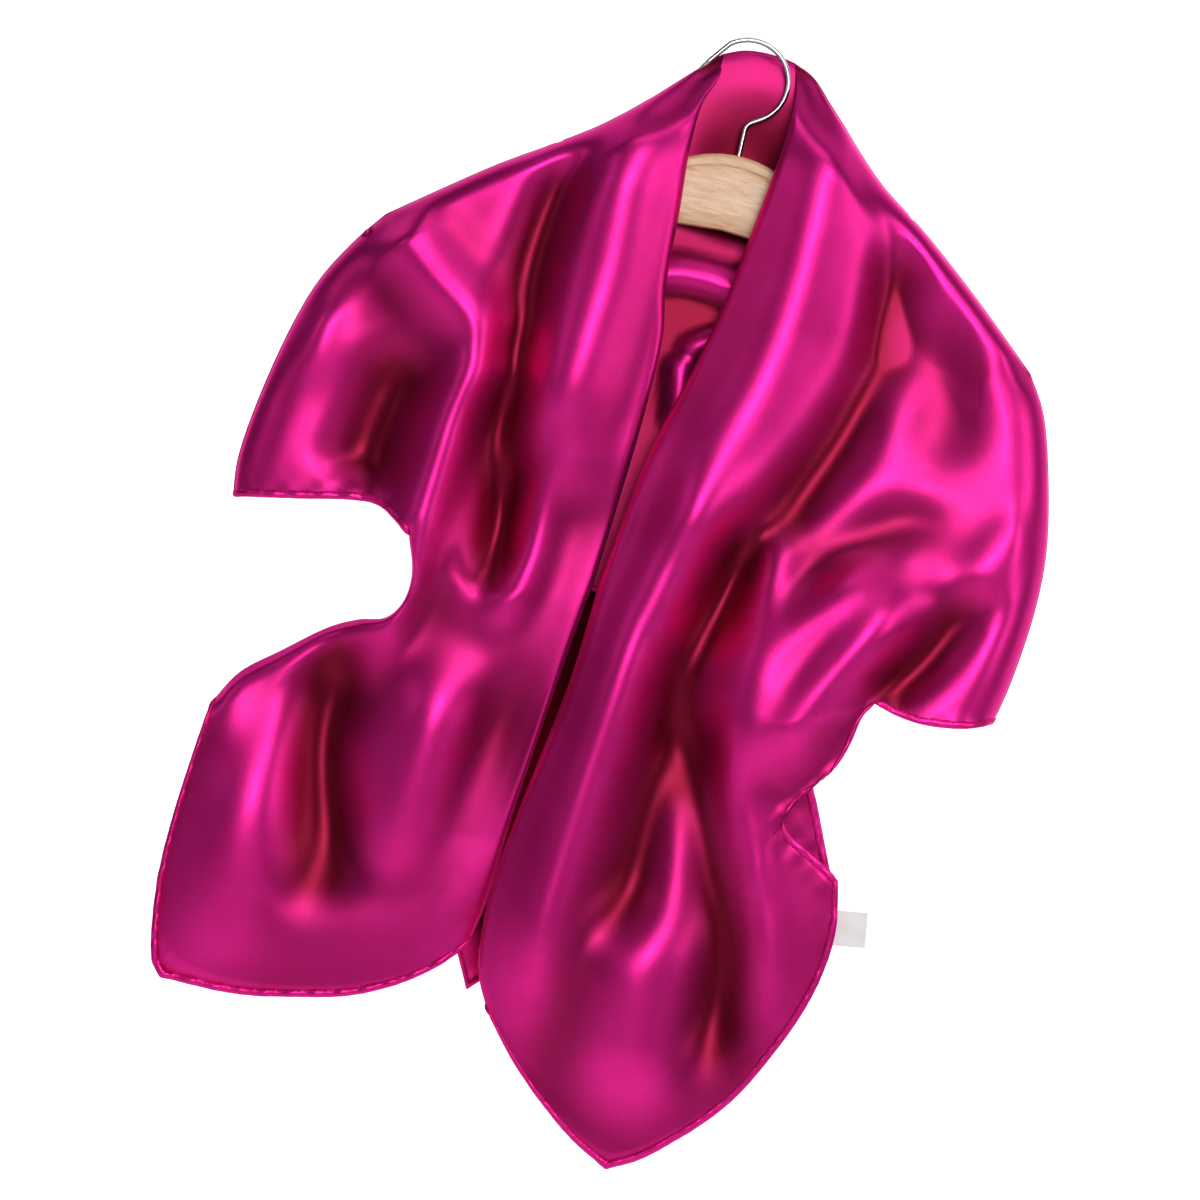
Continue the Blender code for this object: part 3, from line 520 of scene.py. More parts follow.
FOLDS_LEFT = (
    Fold("lapel", ((-44, -52), (-50, -100), (-50, -150), (-54, -195), (-56, -240), (-50, -272)),
         30, 36, 13.0, 0.10, 0.25, 0.0),
    Fold("lapel valley", ((-72, -68), (-86, -104), (-94, -145), (-94, -190), (-88, -225),
                          (-85, -262), (-79, -300), (-75, -338)), 18, 16, -9.0, 0.15, 0.10, 0.2),
    Fold("heart", ((-46, -238), (-42, -262), (-38, -290)), 24, 24, 8.0, 0.45, 0.45, 0.0),
    Fold("shoulder crease", ((-180, -150), (-162, -167), (-143, -182), (-122, -195), (-100, -208)),
         34, 12, 15.0, 0.05, 0.10, 0.7),
    Fold("front ridge", ((-98, -208), (-107, -226), (-113, -250), (-116, -290), (-119, -330),
                         (-126, -360), (-128, -400)), 13, 30, 17.0, 0.06, 0.25, 0.5),
    Fold("ridge shadow", ((-90, -214), (-97, -238), (-101, -270), (-104, -305), (-106, -335)),
         10, 8, -9.0, 0.15, 0.35, 0.2),
    Fold("swag left arm", ((-100, -246), (-99, -280), (-96, -320), (-86, -352), (-72, -362)),
         9, 10, 6.0, 0.25, 0.30, 0.4),
    Fold("swag right arm", ((-66, -262), (-59, -290), (-58, -320), (-64, -346), (-73, -361)),
         10, 12, 9.0, 0.25, 0.15, 0.4),
    Fold("swag hollow", ((-80, -262), (-78, -300), (-76, -338)), 12, 12, -8.0, 0.3, 0.2, 0.0),
    Fold("waist ridge", ((-26, -300), (-28, -350), (-33, -400), (-42, -450), (-56, -505),
                         (-80, -560)), 12, 16, 7.0, 0.15, 0.15, 0.3),
    Fold("waist valley", ((-48, -372), (-52, -420), (-60, -470), (-75, -520), (-92, -560)),
         12, 16, -9.0, 0.2, 0.2, 0.0),
    Fold("skirt ridge", ((-98, -372), (-90, -420), (-92, -470), (-104, -520), (-122, -570)),
         26, 24, 12.0, 0.25, 0.2, 0.1),
    Fold("skirt valley", ((-131, -392), (-147, -418), (-149, -446), (-142, -478), (-128, -506),
                          (-110, -532), (-98, -556)), 22, 20, -16.0, 0.15, 0.25, 0.1),
    Fold("skirt roll valley", ((-132, -388), (-158, -404), (-186, -424), (-208, -446)),
         14, 10, -8.0, 0.25, 0.25, 0.2),
    Fold("skirt dome", ((-178, -440), (-184, -490), (-182, -540), (-174, -590)),
         36, 36, 11.0, 0.3, 0.2, 0.0),
    Fold("flap ridge", ((-206, -200), (-212, -226), (-215, -262)), 10, 9, 6.0, 0.2, 0.5, 0.5),
    Fold("flap ridge 2", ((-206, -200), (-199, -226), (-194, -256)), 9, 10, 5.0, 0.2, 0.5, 0.5),
    Fold("flap hollow", ((-150, -215), (-160, -250), (-166, -296)), 26, 24, -10.0, 0.2, 0.1, 0.0),
)
FOLDS_RIGHT = (
    Fold("lapel", ((46, -34), (58, -80), (58, -130), (52, -178), (40, -222), (26, -262),
                   (10, -300)), 34, 36, 14.0, 0.10, 0.25, 0.0),
    Fold("lapel edge crease", ((90, -66), (95, -100), (95, -160), (84, -206), (66, -248),
                               (50, -284), (38, -320)), 13, 22, 5.0, 0.12, 0.2, 0.35),
    Fold("lapel shadow", ((104, -84), (108, -130), (106, -175), (93, -220), (76, -260), (62, -300)),
         24, 14, -10.0, 0.15, 0.2, 0.0),
    Fold("finger", ((40, -228), (32, -258), (22, -300), (12, -345), (6, -400), (0, -470),
                    (-4, -540), (0, -596)), 21, 22, 16.0, 0.16, 0.20, 0.0),
    Fold("finger shadow", ((64, -262), (55, -300), (44, -340), (41, -400), (42, -470), (38, -540)),
         15, 13, -10.0, 0.12, 0.2, 0.0),
    Fold("swag left arm", ((56, -292), (42, -312), (33, -332), (38, -352), (50, -364)),
         8, 9, 7.0, 0.25, 0.25, 0.4),
    Fold("swag right arm", ((80, -262), (79, -300), (76, -332), (72, -354), (60, -366)),
         9, 9, 9.0, 0.2, 0.2, 0.4),
    Fold("swag hollow", ((66, -272), (60, -304), (56, -342)), 10, 10, -8.0, 0.3, 0.2, 0.0),
    Fold("fan valley", ((46, -374), (62, -404), (84, -450), (104, -500), (106, -550), (96, -592)),
         17, 20, -12.0, 0.15, 0.2, 0.0),
    Fold("fan ridge", ((140, -270), (122, -292), (98, -328), (84, -366), (82, -406), (96, -446),
                       (112, -486), (126, -524), (130, -560)), 13, 16, 14.0, 0.12, 0.2, 0.4),
    Fold("tube", ((158, -276), (150, -296), (134, -326), (116, -358), (104, -390), (106, -420)),
         22, 22, 17.0, 0.25, 0.30, 0.1),
    Fold("tube shadow", ((178, -256), (150, -250), (126, -264), (104, -288), (90, -318)),
         12, 16, -8.0, 0.3, 0.3, 0.0),
    Fold("flap valley", ((196, -272), (184, -306), (168, -334), (150, -352)),
         14, 15, -11.0, 0.2, 0.1, 0.1),
    Fold("flap ridge", ((220, -228), (205, -246), (190, -276), (176, -304)),
         14, 12, 6.0, 0.25, 0.4, 0.3),
    Fold("shoulder hollow", ((120, -120), (150, -180), (168, -226)), 30, 30, -7.0, 0.3, 0.3, 0.0),
    Fold("tail dome", ((50, -480), (54, -540), (62, -610)), 38, 34, 11.0, 0.35, 0.2, 0.0),
)
FOLDS_BACK = (
    Fold("centre ridge", ((6, -60), (0, -180), (-8, -300), (-20, -430), (-34, -540)),
         34, 34, 12.0, 0.25, 0.1, 0.0),
    Fold("left valley", ((-40, -110), (-50, -220), (-58, -340), (-64, -450)),
         26, 26, -8.0, 0.3, 0.1, 0.0),
    Fold("right valley", ((52, -110), (54, -220), (46, -340), (24, -460)),
         26, 26, -8.0, 0.3, 0.1, 0.0),
    Fold("left ridge", ((-150, -150), (-128, -210), (-106, -280), (-90, -360)),
         30, 26, 10.0, 0.15, 0.1, 0.2),
    Fold("right ridge", ((164, -156), (142, -220), (118, -290), (94, -370)),
         26, 30, 10.0, 0.15, 0.1, 0.2),
    Fold("left flap valley", ((-186, -190), (-172, -240), (-160, -290)),
         18, 20, -6.0, 0.3, 0.1, 0.0),
    Fold("right flap valley", ((196, -200), (184, -260), (160, -330)), 18, 20, -6.0, 0.3, 0.1, 0.0),
    Fold("neck swag", ((-44, -74), (-16, -92), (24, -94), (56, -74)), 14, 14, 5.0, 0.3, 0.3, 0.0),
)
FOLDS_INNER = (
    Fold("cross fold", ((-40, -150), (-10, -139), (24, -141), (56, -152)),
         14, 10, -7.0, 0.2, 0.2, 0.1),
    Fold("stem of the y", ((8, -226), (4, -200), (0, -182)), 9, 9, -6.0, 0.2, 0.2, 0.2),
    Fold("arm of the y", ((0, -184), (16, -172), (34, -166)), 8, 8, -5.0, 0.2, 0.3, 0.2),
    Fold("long hollow", ((8, -14), (12, -45), (14, -80), (12, -120)), 34, 34, 8.0, 0.6, 0.3, 0.0),
)


# ------------------------------------------------------------------ helpers for meshes
@dataclass
class ClothMesh:
    """Corners and faces of the cloth, welded where stretches meet; corners in millimetres."""

    corners: list[tuple[float, float, float]] = field(default_factory=list)
    faces: list[list[int]] = field(default_factory=list)
    places: dict[tuple[float, ...], int] = field(default_factory=dict)

    def corner(self, point: np.ndarray) -> int:
        """Number of the corner at a point, shared with any stretch that has it already."""
        key = tuple(np.round(point, 2))
        if key not in self.places:
            self.places[key] = len(self.corners)
            self.corners.append(tuple(float(v) for v in point))
        return self.places[key]

    def lay(self, grid: np.ndarray, flip: bool) -> None:
        """Add quads over a grid of (x, y, z).

        Args:
            grid: Rows x columns x 3, rows from the top down.
            flip: True where the columns run so that the faces would point inwards.
        """
        numbers = [[self.corner(point) for point in row] for row in grid]
        for upper, lower in zip(numbers[:-1], numbers[1:]):
            for i in range(len(upper) - 1):
                loop = list(dict.fromkeys([upper[i], lower[i], lower[i + 1], upper[i + 1]]))
                if len(loop) > 2:
                    self.faces.append(loop[::-1] if flip else loop)

    def make(self, name: str) -> bpy.types.Object:
        """The mesh object, in metres; its UV map runs with the threads, at 45 degrees."""
        mesh = bpy.data.meshes.new(name)
        mesh.from_pydata([Vector(c) * MM for c in self.corners], [], self.faces)
        mesh.update()
        uv = mesh.uv_layers.new(name="weave")
        spots = np.zeros(len(mesh.loops) * 2)
        for loop in mesh.loops:
            x, _y, z = mesh.vertices[loop.vertex_index].co
            spots[2 * loop.index] = (x + z) / math.sqrt(2)
            spots[2 * loop.index + 1] = (z - x) / math.sqrt(2)
        uv.data.foreach_set("uv", spots)
        made = bpy.data.objects.new(name, mesh)
        bpy.context.scene.collection.objects.link(made)
        return made


def only(obj: bpy.types.Object) -> None:
    """Select one object and make it active."""
    bpy.ops.object.select_all(action="DESELECT")
    obj.select_set(True)
    bpy.context.view_layer.objects.active = obj


def edit_mode(on: bool) -> None:
    """Enter or leave edit mode on the active object."""
    bpy.ops.object.mode_set(mode="EDIT" if on else "OBJECT")


def extrude(step: Sequence[float]) -> None:
    """Extrude the selected faces by a step in metres."""
    bpy.ops.mesh.extrude_region_move(TRANSFORM_OT_translate={"value": tuple(step)})


def close_skin(gap: float) -> None:
    """Merge the corners that lie within a gap in metres, and turn all faces outwards."""
    bpy.ops.mesh.select_all(action="SELECT")
    bpy.ops.mesh.remove_doubles(threshold=gap)
    bpy.ops.mesh.normals_make_consistent(inside=False)


def apply_modifiers(obj: bpy.types.Object) -> None:
    """Apply every modifier in order."""
    only(obj)
    for modifier in list(obj.modifiers):
        bpy.ops.object.modifier_apply(modifier=modifier.name)


def add_wall(obj: bpy.types.Object, thick: float, offset: float) -> None:
    """Give a sheet its thickness in millimetres: offset -1 is all inwards, 0 half each way."""
    wall = obj.modifiers.new("thickness", "SOLIDIFY")
    wall.thickness = thick * MM
    wall.offset = offset


def paint_fold_shade(obj: bpy.types.Object) -> None:
    """Keep at each corner of the cloth a painted shade, from how deep it lies in a fold: 0 on a ridge,
    1 deep in a fold. It darkens and reddens the satin's colour as light that goes into a fold would.

    Args:
        obj: The finished cloth.
    """
    mesh = obj.data
    count = len(mesh.vertices)
    spots, normals = np.zeros((count, 3)), np.zeros((count, 3))
    ends = np.zeros((len(mesh.edges), 2), dtype=int)
    mesh.vertices.foreach_get("co", spots.ravel())
    mesh.vertex_normals.foreach_get("vector", normals.ravel())
    mesh.edges.foreach_get("vertices", ends.ravel())
    first, second = ends.T
    joined = np.bincount(ends.ravel(), minlength=count)
    broad = spots.copy()
    for _ in range(PAINTED_SHADE_ROUNDS):
        around = np.column_stack([np.bincount(first, broad[second, axis], count)
                                  + np.bincount(second, broad[first, axis], count)
                                  for axis in range(3)])
        broad += 0.5 * (around / joined[:, None] - broad)
    inside = np.sum((broad - spots) * normals, axis=1) / MM
    # painted shade on the inside of the shawl, behind the fronts
    inside_shade = (ease((spots[:, 1] / MM - INSIDE_SHADE_FROM) / INSIDE_SHADE_FROM)
              * np.clip(-2 * normals[:, 1], 0.0, 1.0))
    # painted shade, kept for the satin to darken its colour by
    painted_shade = PAINTED_SHADE_FLAT + inside / PAINTED_SHADE_DEPTH + INSIDE_SHADE_TONE * inside_shade
    kept = mesh.attributes.new("hollow", "FLOAT", "POINT")
    kept.data.foreach_set("value", np.clip(painted_shade, 0.0, 1.0))


def dress(obj: bpy.types.Object, surface: bpy.types.Material, slot: str,
          *nodes: str) -> bpy.types.Object:
    """Give a piece its material, body and slot.

    Args:
        obj: The finished piece.
        surface: Its material.
        slot: The record's material slot.
        nodes: CAD nodes that it replaces.

    Returns:
        The piece.
    """
    obj.data.materials.clear()
    obj.data.materials.append(surface)
    obj.data.shade_smooth()
    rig.ride(obj, BODY)
    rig.slot(obj, slot)
    if nodes:
        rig.replaces(obj, *nodes)
    LOG.info("%s: %d faces", obj.name, len(obj.data.polygons))
    return obj


# ------------------------------------------------------------------ shawl
@dataclass
class Front:
    """One front: an upper part from shoulder to waist, and a lower part from waist to hem."""

    hand: Hand
    shoulder: Points
    side: Points
    lapel: Points
    lapel_low: Points
    waist: Points
    flap_hem: Points
    bite: Points
    hem_inner: Points
    hem_outer: Points
    fullness: Points
    folds: Sequence[Fold]
    covered: bool = False
    rolled_bite: bool = False
    upper: np.ndarray = field(init=False)
    lower: np.ndarray = field(init=False)

    def lapel_line(self) -> np.ndarray:
        """The whole lapel edge, neck to hem."""
        return join_lines(smooth_line(self.lapel, 60), smooth_line(self.lapel_low, 30))

    def hems(self) -> list[Points]:
        """The stitched edges."""
        lines = [self.flap_hem, self.hem_inner, self.hem_outer]
        return lines if self.rolled_bite else lines + [self.bite]

    def base(self, points: np.ndarray) -> np.ndarray:
        """Depth of the drape without its folds.

        Args:
            points: Rows of (x, z).

        Returns:
            One y per row.
        """
        to_shoulder = distance(points, self.shoulder)
        to_side = distance(points, self.side)
        neck = near_neck(points[:, 0])
        over = (1 - neck) * half_round(to_shoulder / SHOULDER_ROUND)
        over += neck * ease(to_shoulder / NECK_SLOPE)
        seam = NECK_BACK * neck * (1 - ease(to_shoulder / NECK_SLOPE))
        out = level(points[:, 1], self.fullness) * over * half_round(to_side / SIDE_ROUND)
        push = COVERED_DEPTH * self.hidden(points)
        if self.rolled_bite:
            push += BITE_ROLL * (1 - half_round(distance(points, self.bite) / BITE_ROUND))
        lapel = self.lapel_line()
        grown = ease((lapel[0, 1] - points[:, 1]) / LAPEL_GROWS)
        gap = nearest(points, lapel)[0]
        push += LAPEL_ROLL * grown * (1 - half_round(gap / LAPEL_ROLL))
        return seam - out + push

    def hidden(self, points: np.ndarray) -> np.ndarray:
        """1 where the other front covers this one, 0 elsewhere."""
        if not self.covered:
            return np.zeros(len(points))
        down, across = COVERED_FADE
        return (ease((COVERED_TOP - points[:, 1]) / down)
                * ease((points[:, 0] - COVERED_EDGE) / across))

    def relief(self, points: np.ndarray) -> np.ndarray:
        """Height of the folds and of the soft unevenness between them."""
        total = FOLD_DEPTH * sum(fold.relief(points) for fold in self.folds)
        total += UNEVEN * ripples(points, UNEVEN_WAVE, UNEVEN_SEED)
        return total * (1 - COVERED_CALM * self.hidden(points))

    def finish(self, points: np.ndarray, relief: np.ndarray) -> np.ndarray:
        """Depth with the folds, which die at the shoulder and side, and the hem's puckers.

        Args:
            points: Rows of (x, z).
            relief: Height of the folds at each.

        Returns:
            One y per row.
        """
        to_shoulder = distance(points, self.shoulder)
        to_side = distance(points, self.side)
        folds = relief * ease(to_shoulder / SHOULDER_CALM) * ease(to_side / SIDE_CALM)
        to_hem = np.min([distance(points, line) for line in self.hems()], axis=0)
        folds += (PUCKER * (1 - ease(to_hem / PUCKER_REACH)) * ease(to_side / PUCKER_CALM)
                  * ripples(points, PUCKER_WAVE, PUCKER_SEED))
        y = self.base(points) - folds
        wood = ((points[:, 1] < WOOD_TOP) & (points[:, 1] > WOOD_FOOT)
                & (np.abs(points[:, 0]) < WOOD_HALF) & (to_shoulder > SHOULDER_ROUND))
        return np.where(wood, np.minimum(y, WOOD_FACE), y)

    def depth(self, points: np.ndarray) -> np.ndarray:
        """Depth of the cloth at points in front view, before its folds are softened."""
        return self.finish(points, self.relief(points))

    def with_folds(self, upper: np.ndarray, lower: np.ndarray,
                   shared: int) -> tuple[np.ndarray, np.ndarray]:
        """Both grids of (x, z) turned into (x, y, z), with softened folds.

        Args:
            upper: The grid above the waist.
            lower: The grid below it.
            shared: Columns of the waist that both have.

        Returns:
            The two grids.
        """
        grids = (upper, lower)
        heights = [self.relief(g.reshape(-1, 2)).reshape(g.shape[:2]) for g in grids]
        soften(heights[0], heights[1], shared)
        made = []
        for grid, height in zip(grids, heights):
            y = self.finish(grid.reshape(-1, 2), height.reshape(-1)).reshape(grid.shape[:2])
            made.append(np.dstack([grid[..., 0], y, grid[..., 1]]))
        return made[0], made[1]

    def build(self, cloth: ClothMesh, waist_share: float) -> None:
        """Lay this front's cloth.

        Args:
            cloth: The mesh it is added to.
            waist_share: Share of the columns below the waist that end on the inner hem.
        """
        shoulder_cells = cells_for(self.shoulder) + ROUND_CELLS
        flap_cells = round(shoulder_cells * line_length(self.flap_hem)
                           / (line_length(self.flap_hem) + line_length(self.waist)))
        waist_cells = shoulder_cells - flap_cells
        rows = cells_for(self.side) + ROUND_ROWS
        low_rows = cells_for(self.lapel_low)
        inner_cells = round(waist_cells * waist_share)
        waist_line = smooth_line(self.waist, waist_cells)
        upper = fill_outline(smooth_line(self.shoulder, shoulder_cells),
                             join_lines(waist_line, smooth_line(self.flap_hem, flap_cells)[::-1]),
                             smooth_line(self.lapel, rows), smooth_line(self.side, rows))
        lower = fill_outline(waist_line,
                             join_lines(smooth_line(self.hem_inner, inner_cells),
                                        smooth_line(self.hem_outer, waist_cells - inner_cells)),
                             smooth_line(self.lapel_low, low_rows),
                             smooth_line(self.bite, low_rows))
        upper = add_lines(upper, 1, False, LAPEL_SHARES)
        lower = add_lines(lower, 1, False, LAPEL_SHARES)
        upper = add_lines(upper, 1, True, EDGE_SHARES)
        upper = add_lines(upper, 0, False, EDGE_SHARES)
        self.upper, self.lower = self.with_folds(upper, lower,
                                                 waist_cells + 1 + len(LAPEL_SHARES))
        edge = join_lines(self.upper[LAPEL_START:, 0], self.lower[:, 0])
        for grid in (self.upper, self.lower, self.under_layer(edge)):
            cloth.lay(grid, self.hand is Hand.LEFT)

    def under_layer(self, edge: np.ndarray) -> np.ndarray:
        """Grid that carries the lapel's edge round its roll and back beneath the face.

        Args:
            edge: Rows of (x, y, z) down the lapel.

        Returns:
            The grid, its last column on the edge.
        """
        run = unit(np.gradient(edge[:, [0, 2]], axis=0))
        inward = np.column_stack([run[:, 1], -run[:, 0]]) * self.hand.value
        columns = [edge]
        steps = [(LAPEL_ROLL * (1 - math.cos(turn)), LAPEL_ROLL * math.sin(turn))
                 for turn in np.radians(LAPEL_TURNS)]
        steps += [(LAPEL_ROLL + RETURN_WIDTH * s, LAPEL_ROLL + RETURN_SINK * s)
                  for s in (0.33, 0.66, 1.0)]
        for across, back in steps:
            shift = np.column_stack([inward[:, 0] * across, np.full(len(edge), back),
                                     inward[:, 1] * across])
            columns.append(edge + shift)
        return np.stack(columns, axis=1)[:, ::-1]


def with_depth(grid: np.ndarray, depth: Depth) -> np.ndarray:
    """Grid of (x, z) turned into (x, y, z) by a depth function."""
    y = depth(grid.reshape(-1, 2)).reshape(grid.shape[:2])
    return np.dstack([grid[..., 0], y, grid[..., 1]])


def soften(upper: np.ndarray, lower: np.ndarray, shared: int) -> None:
    """Let the folds' heights flow into each other, and across the waist.

    Args:
        upper: Heights on the grid above the waist, changed in place.
        lower: Heights on the grid below it, changed in place.
        shared: Columns of the waist that both have.
    """
    for _ in range(SOFTEN_ROUNDS):
        for heights in (upper, lower):
            wide = np.pad(heights, 1, mode="edge")
            mean = 0.25 * (wide[:-2, 1:-1] + wide[2:, 1:-1] + wide[1:-1, :-2] + wide[1:-1, 2:])
            heights += 0.5 * (mean - heights)
        beside = 0.5 * (upper[-2, :shared] + lower[1])
        waist = 0.5 * (0.5 * (upper[-1, :shared] + lower[0]) + beside)
        upper[-1, :shared] = waist
        lower[0] = waist


@dataclass
class Back:
    """Outer layer of the back, and the inner layer that shows between the lapels."""

    folds: Sequence[Fold]
    inner_folds: Sequence[Fold]
    outer: np.ndarray = field(init=False)
    inner: np.ndarray = field(init=False)

    def depth(self, points: np.ndarray) -> np.ndarray:
        """Depth of the outer layer; its top edge is the neck fold between the shoulder lines."""
        shoulder = join_lines(smooth_line(SHOULDER_LEFT, 60)[::-1], smooth_line(NECK, 12),
                              smooth_line(SHOULDER_RIGHT, 60))
        to_shoulder = nearest(points, shoulder)[0]
        to_side = np.minimum(distance(points, SIDE_LEFT), distance(points, SIDE_RIGHT))
        neck = near_neck(points[:, 0])
        seam = NECK_BACK * neck * (1 - BACK_NECK_RISE * ease(to_shoulder / BACK_NECK_DROP))
        full = level(points[:, 1], FULLNESS_BACK)
        reach = SHOULDER_ROUND * (1 - neck) + BACK_NECK_ROUND * neck
        at_neck = BACK_NECK_FULL + (full - BACK_NECK_FULL) * ease(to_shoulder / BACK_NECK_REACH)
        full = full * (1 - neck) + neck * at_neck
        out = full * half_round(to_shoulder / reach) * half_round(to_side / SIDE_ROUND)
        fade = ease(to_shoulder / BACK_CALM) * ease(to_side / SIDE_CALM)
        folds = sum(fold.relief(points) for fold in self.folds)
        folds = np.where(folds > 0, BACK_RIDGES * folds, folds)
        return seam + out + fade * (folds + UNEVEN * ripples(points, UNEVEN_WAVE, UNEVEN_SEED))

    def inner_depth(self, points: np.ndarray) -> np.ndarray:
        """Depth of the inner layer, just in front of the outer one and behind the hanger."""
        to_neck = distance(points, NECK)
        rest = (NECK_BACK - INNER_ROLL * half_round(to_neck / INNER_ROLL_REACH)
                + INNER_SINK * ease(to_neck / INNER_SINK_REACH))
        folds = sum(fold.relief(points) for fold in self.inner_folds)
        return rest + ease(to_neck / INNER_CALM) * folds

    def build(self, cloth: ClothMesh) -> None:
        """Lay both layers of the back, joined along the neck fold."""
        left_cells = cells_for(SHOULDER_LEFT) + ROUND_CELLS
        right_cells = cells_for(SHOULDER_RIGHT) + ROUND_CELLS
        neck_cells = cells_for(NECK)
        rows = max(cells_for(SIDE_LEFT), cells_for(SIDE_RIGHT)) + ROUND_ROWS
        top = join_lines(smooth_line(SHOULDER_LEFT, left_cells)[::-1],
                         smooth_line(NECK, neck_cells),
                         smooth_line(SHOULDER_RIGHT, right_cells))
        half = (left_cells + neck_cells + right_cells) // 2
        foot = join_lines(smooth_line(BACK_HEM_LEFT, half),
                          smooth_line(BACK_HEM_RIGHT,
                                      left_cells + neck_cells + right_cells - half))
        grid = fill_outline(top, foot, smooth_line(SIDE_LEFT, rows),
                            smooth_line(SIDE_RIGHT, rows))
        for axis, at_end in ((0, False), (1, False), (1, True)):
            grid = add_lines(grid, axis, at_end, EDGE_SHARES)
        self.outer = with_depth(grid, self.depth)
        inner = fill_outline(smooth_line(NECK, neck_cells * 3),
                             smooth_line(INNER_FOOT, neck_cells * 3),
                             smooth_line(INNER_LEFT, INNER_ROWS),
                             smooth_line(INNER_RIGHT, INNER_ROWS))
        inner = add_lines(inner, 0, False, EDGE_SHARES)
        self.inner = with_depth(inner, self.inner_depth)
        cloth.lay(self.outer, False)
        cloth.lay(self.inner, True)


@dataclass
class Hem:
    """Narrow rolled hem, stitched by machine, along the free edges of the square."""

    width: float = 4.6
    thick: float = 2.0
    step: float = 1.5
    overhang: float = 0.6           # how far the roll stands past the cloth's edge
    pucker: float = 0.45            # how far it sways up and down
    long_wave: float = 6.5          # wave lengths of its puckers
    short_wave: float = 2.6
    sway: float = 0.3               # how far it sways in the cloth's plane
    width_change: float = 0.10      # shares of its size by which the puckers change it
    thick_change: float = 0.28
    thick_ripple: float = 0.18
    seeds: tuple[float, float] = (1.7, 4.0)     # from run to run, and for the short puckers
    end_taper: float = 3.0          # distance over which it thins at its ends
    end_share: float = 0.15
    stitch_pitch: float = 3.0
    stitch_length: float = 2.0
    stitch_thick: float = 0.35
    stitch_inset: float = 1.4       # from the roll's inner side
    stitch_proud: float = 0.05
    sides: int = 8

    def resample(self, edge: np.ndarray, inside: np.ndarray) -> tuple[np.ndarray, ...]:
        """Edge and directions at even steps.

        Args:
            edge: Rows of (x, y, z) along the hem.
            inside: The mesh row next to it.

        Returns:
            The points, the unit directions into the cloth and along it, and their cross product.
        """
        along = along_run(edge)
        keep = np.concatenate([[True], np.diff(along) > 1e-4])
        wanted = np.linspace(0.0, along[-1], max(8, round(along[-1] / self.step)))
        inward = inside - edge
        inward /= np.maximum(np.linalg.norm(inward, axis=1), 1e-6)[:, None]
        points = spread_evenly(edge[keep], along[keep], wanted)
        into = unit(spread_evenly(inward[keep], along[keep], wanted))
        run = unit(np.gradient(points, axis=0))
        return points, into, run, np.cross(into, run)

    def sweep(self, cloth: ClothMesh, edge: np.ndarray, inside: np.ndarray, seed: float) -> None:
        """Add the hem's flattened tube along one run.

        Args:
            cloth: The mesh it is added to.
            edge: Rows of (x, y, z) along the hem.
            inside: The mesh row next to it.
            seed: Makes each run's puckers its own.
        """
        points, into, _run, up = self.resample(edge, inside)
        up = unit(up)
        along = np.arange(len(points)) * self.step
        wave = ripples(np.column_stack([along, along * 0.31]), self.long_wave, seed)
        small = ripples(np.column_stack([along * 0.9, along]), self.short_wave,
                        seed + self.seeds[1])
        centre = points + into * (self.width / 2 - self.overhang + self.sway * small)[:, None]
        centre = centre + up * (self.pucker * wave)[:, None]
        half_wide = self.width / 2 * (1 + self.width_change * small)
        half_thick = self.thick / 2 * (1 + self.thick_change * wave + self.thick_ripple * small)
        ends = np.minimum(along, along[-1] - along)
        taper = np.sqrt(np.clip(ends / self.end_taper, self.end_share, 1.0))
        rings = []
        for turn in np.linspace(0.0, 2 * math.pi, self.sides + 1):
            rings.append(centre + into * (half_wide * taper * math.cos(turn))[:, None]
                         + up * (half_thick * taper * math.sin(turn))[:, None])
        tube = np.stack(rings, axis=1)
        cloth.lay(tube, False)
        for end, backwards in ((tube[0], False), (tube[-1], True)):
            loop = [cloth.corner(p) for p in end[:-1]]
            cloth.faces.append(loop[::-1] if backwards else loop)

    def stitch(self, cloth: ClothMesh, edge: np.ndarray, inside: np.ndarray) -> None:
        """Add a row of short stitches on both faces, just inside the hem.

        Args:
            cloth: The mesh they are added to.
            edge: Rows of (x, y, z) along the hem.
            inside: The mesh row next to it.
        """
        points, into, run, up = self.resample(edge, inside)
        every = max(1, round(self.stitch_pitch / self.step))
        for i in range(2, len(points) - 2, every):
            for face in (-1.0, 1.0):
                middle = (points[i] + into[i] * (self.width - self.stitch_inset)
                          + up[i] * face * (self.thick / 2 + self.stitch_proud))
                self.one_stitch(cloth, middle, run[i], into[i], up[i] * face)

    def one_stitch(self, cloth: ClothMesh, middle: np.ndarray, run: np.ndarray,
                   across: np.ndarray, up: np.ndarray) -> None:
        """A lens of thread: three cross sections, closed at both ends.

        Args:
            cloth: The mesh it is added to.
            middle: Its centre.
            run: Direction along the hem.
            across: Direction into the cloth.
            up: Direction off the cloth.
        """
        rows = []
        for share, fat in ((-0.5, 0.35), (0.0, 1.0), (0.5, 0.35)):
            ring = [middle + run * (self.stitch_length * share)
                    + across * (self.stitch_thick * fat * math.cos(turn))
                    + up * (self.stitch_thick * fat * math.sin(turn))
                    for turn in np.radians((0, 90, 180, 270, 360))]
            rows.append(np.array(ring))
        flip = float(np.dot(np.cross(across, up), run)) < 0
        numbers = [[cloth.corner(p) for p in ring[:-1]] for ring in rows]
        loops = [[first[k], first[(k + 1) % 4], second[(k + 1) % 4], second[k]]
                 for first, second in zip(numbers[:-1], numbers[1:]) for k in range(4)]
        loops += [numbers[0][::-1], numbers[-1]]
        cloth.faces.extend(loop[::-1] if flip else loop for loop in loops)


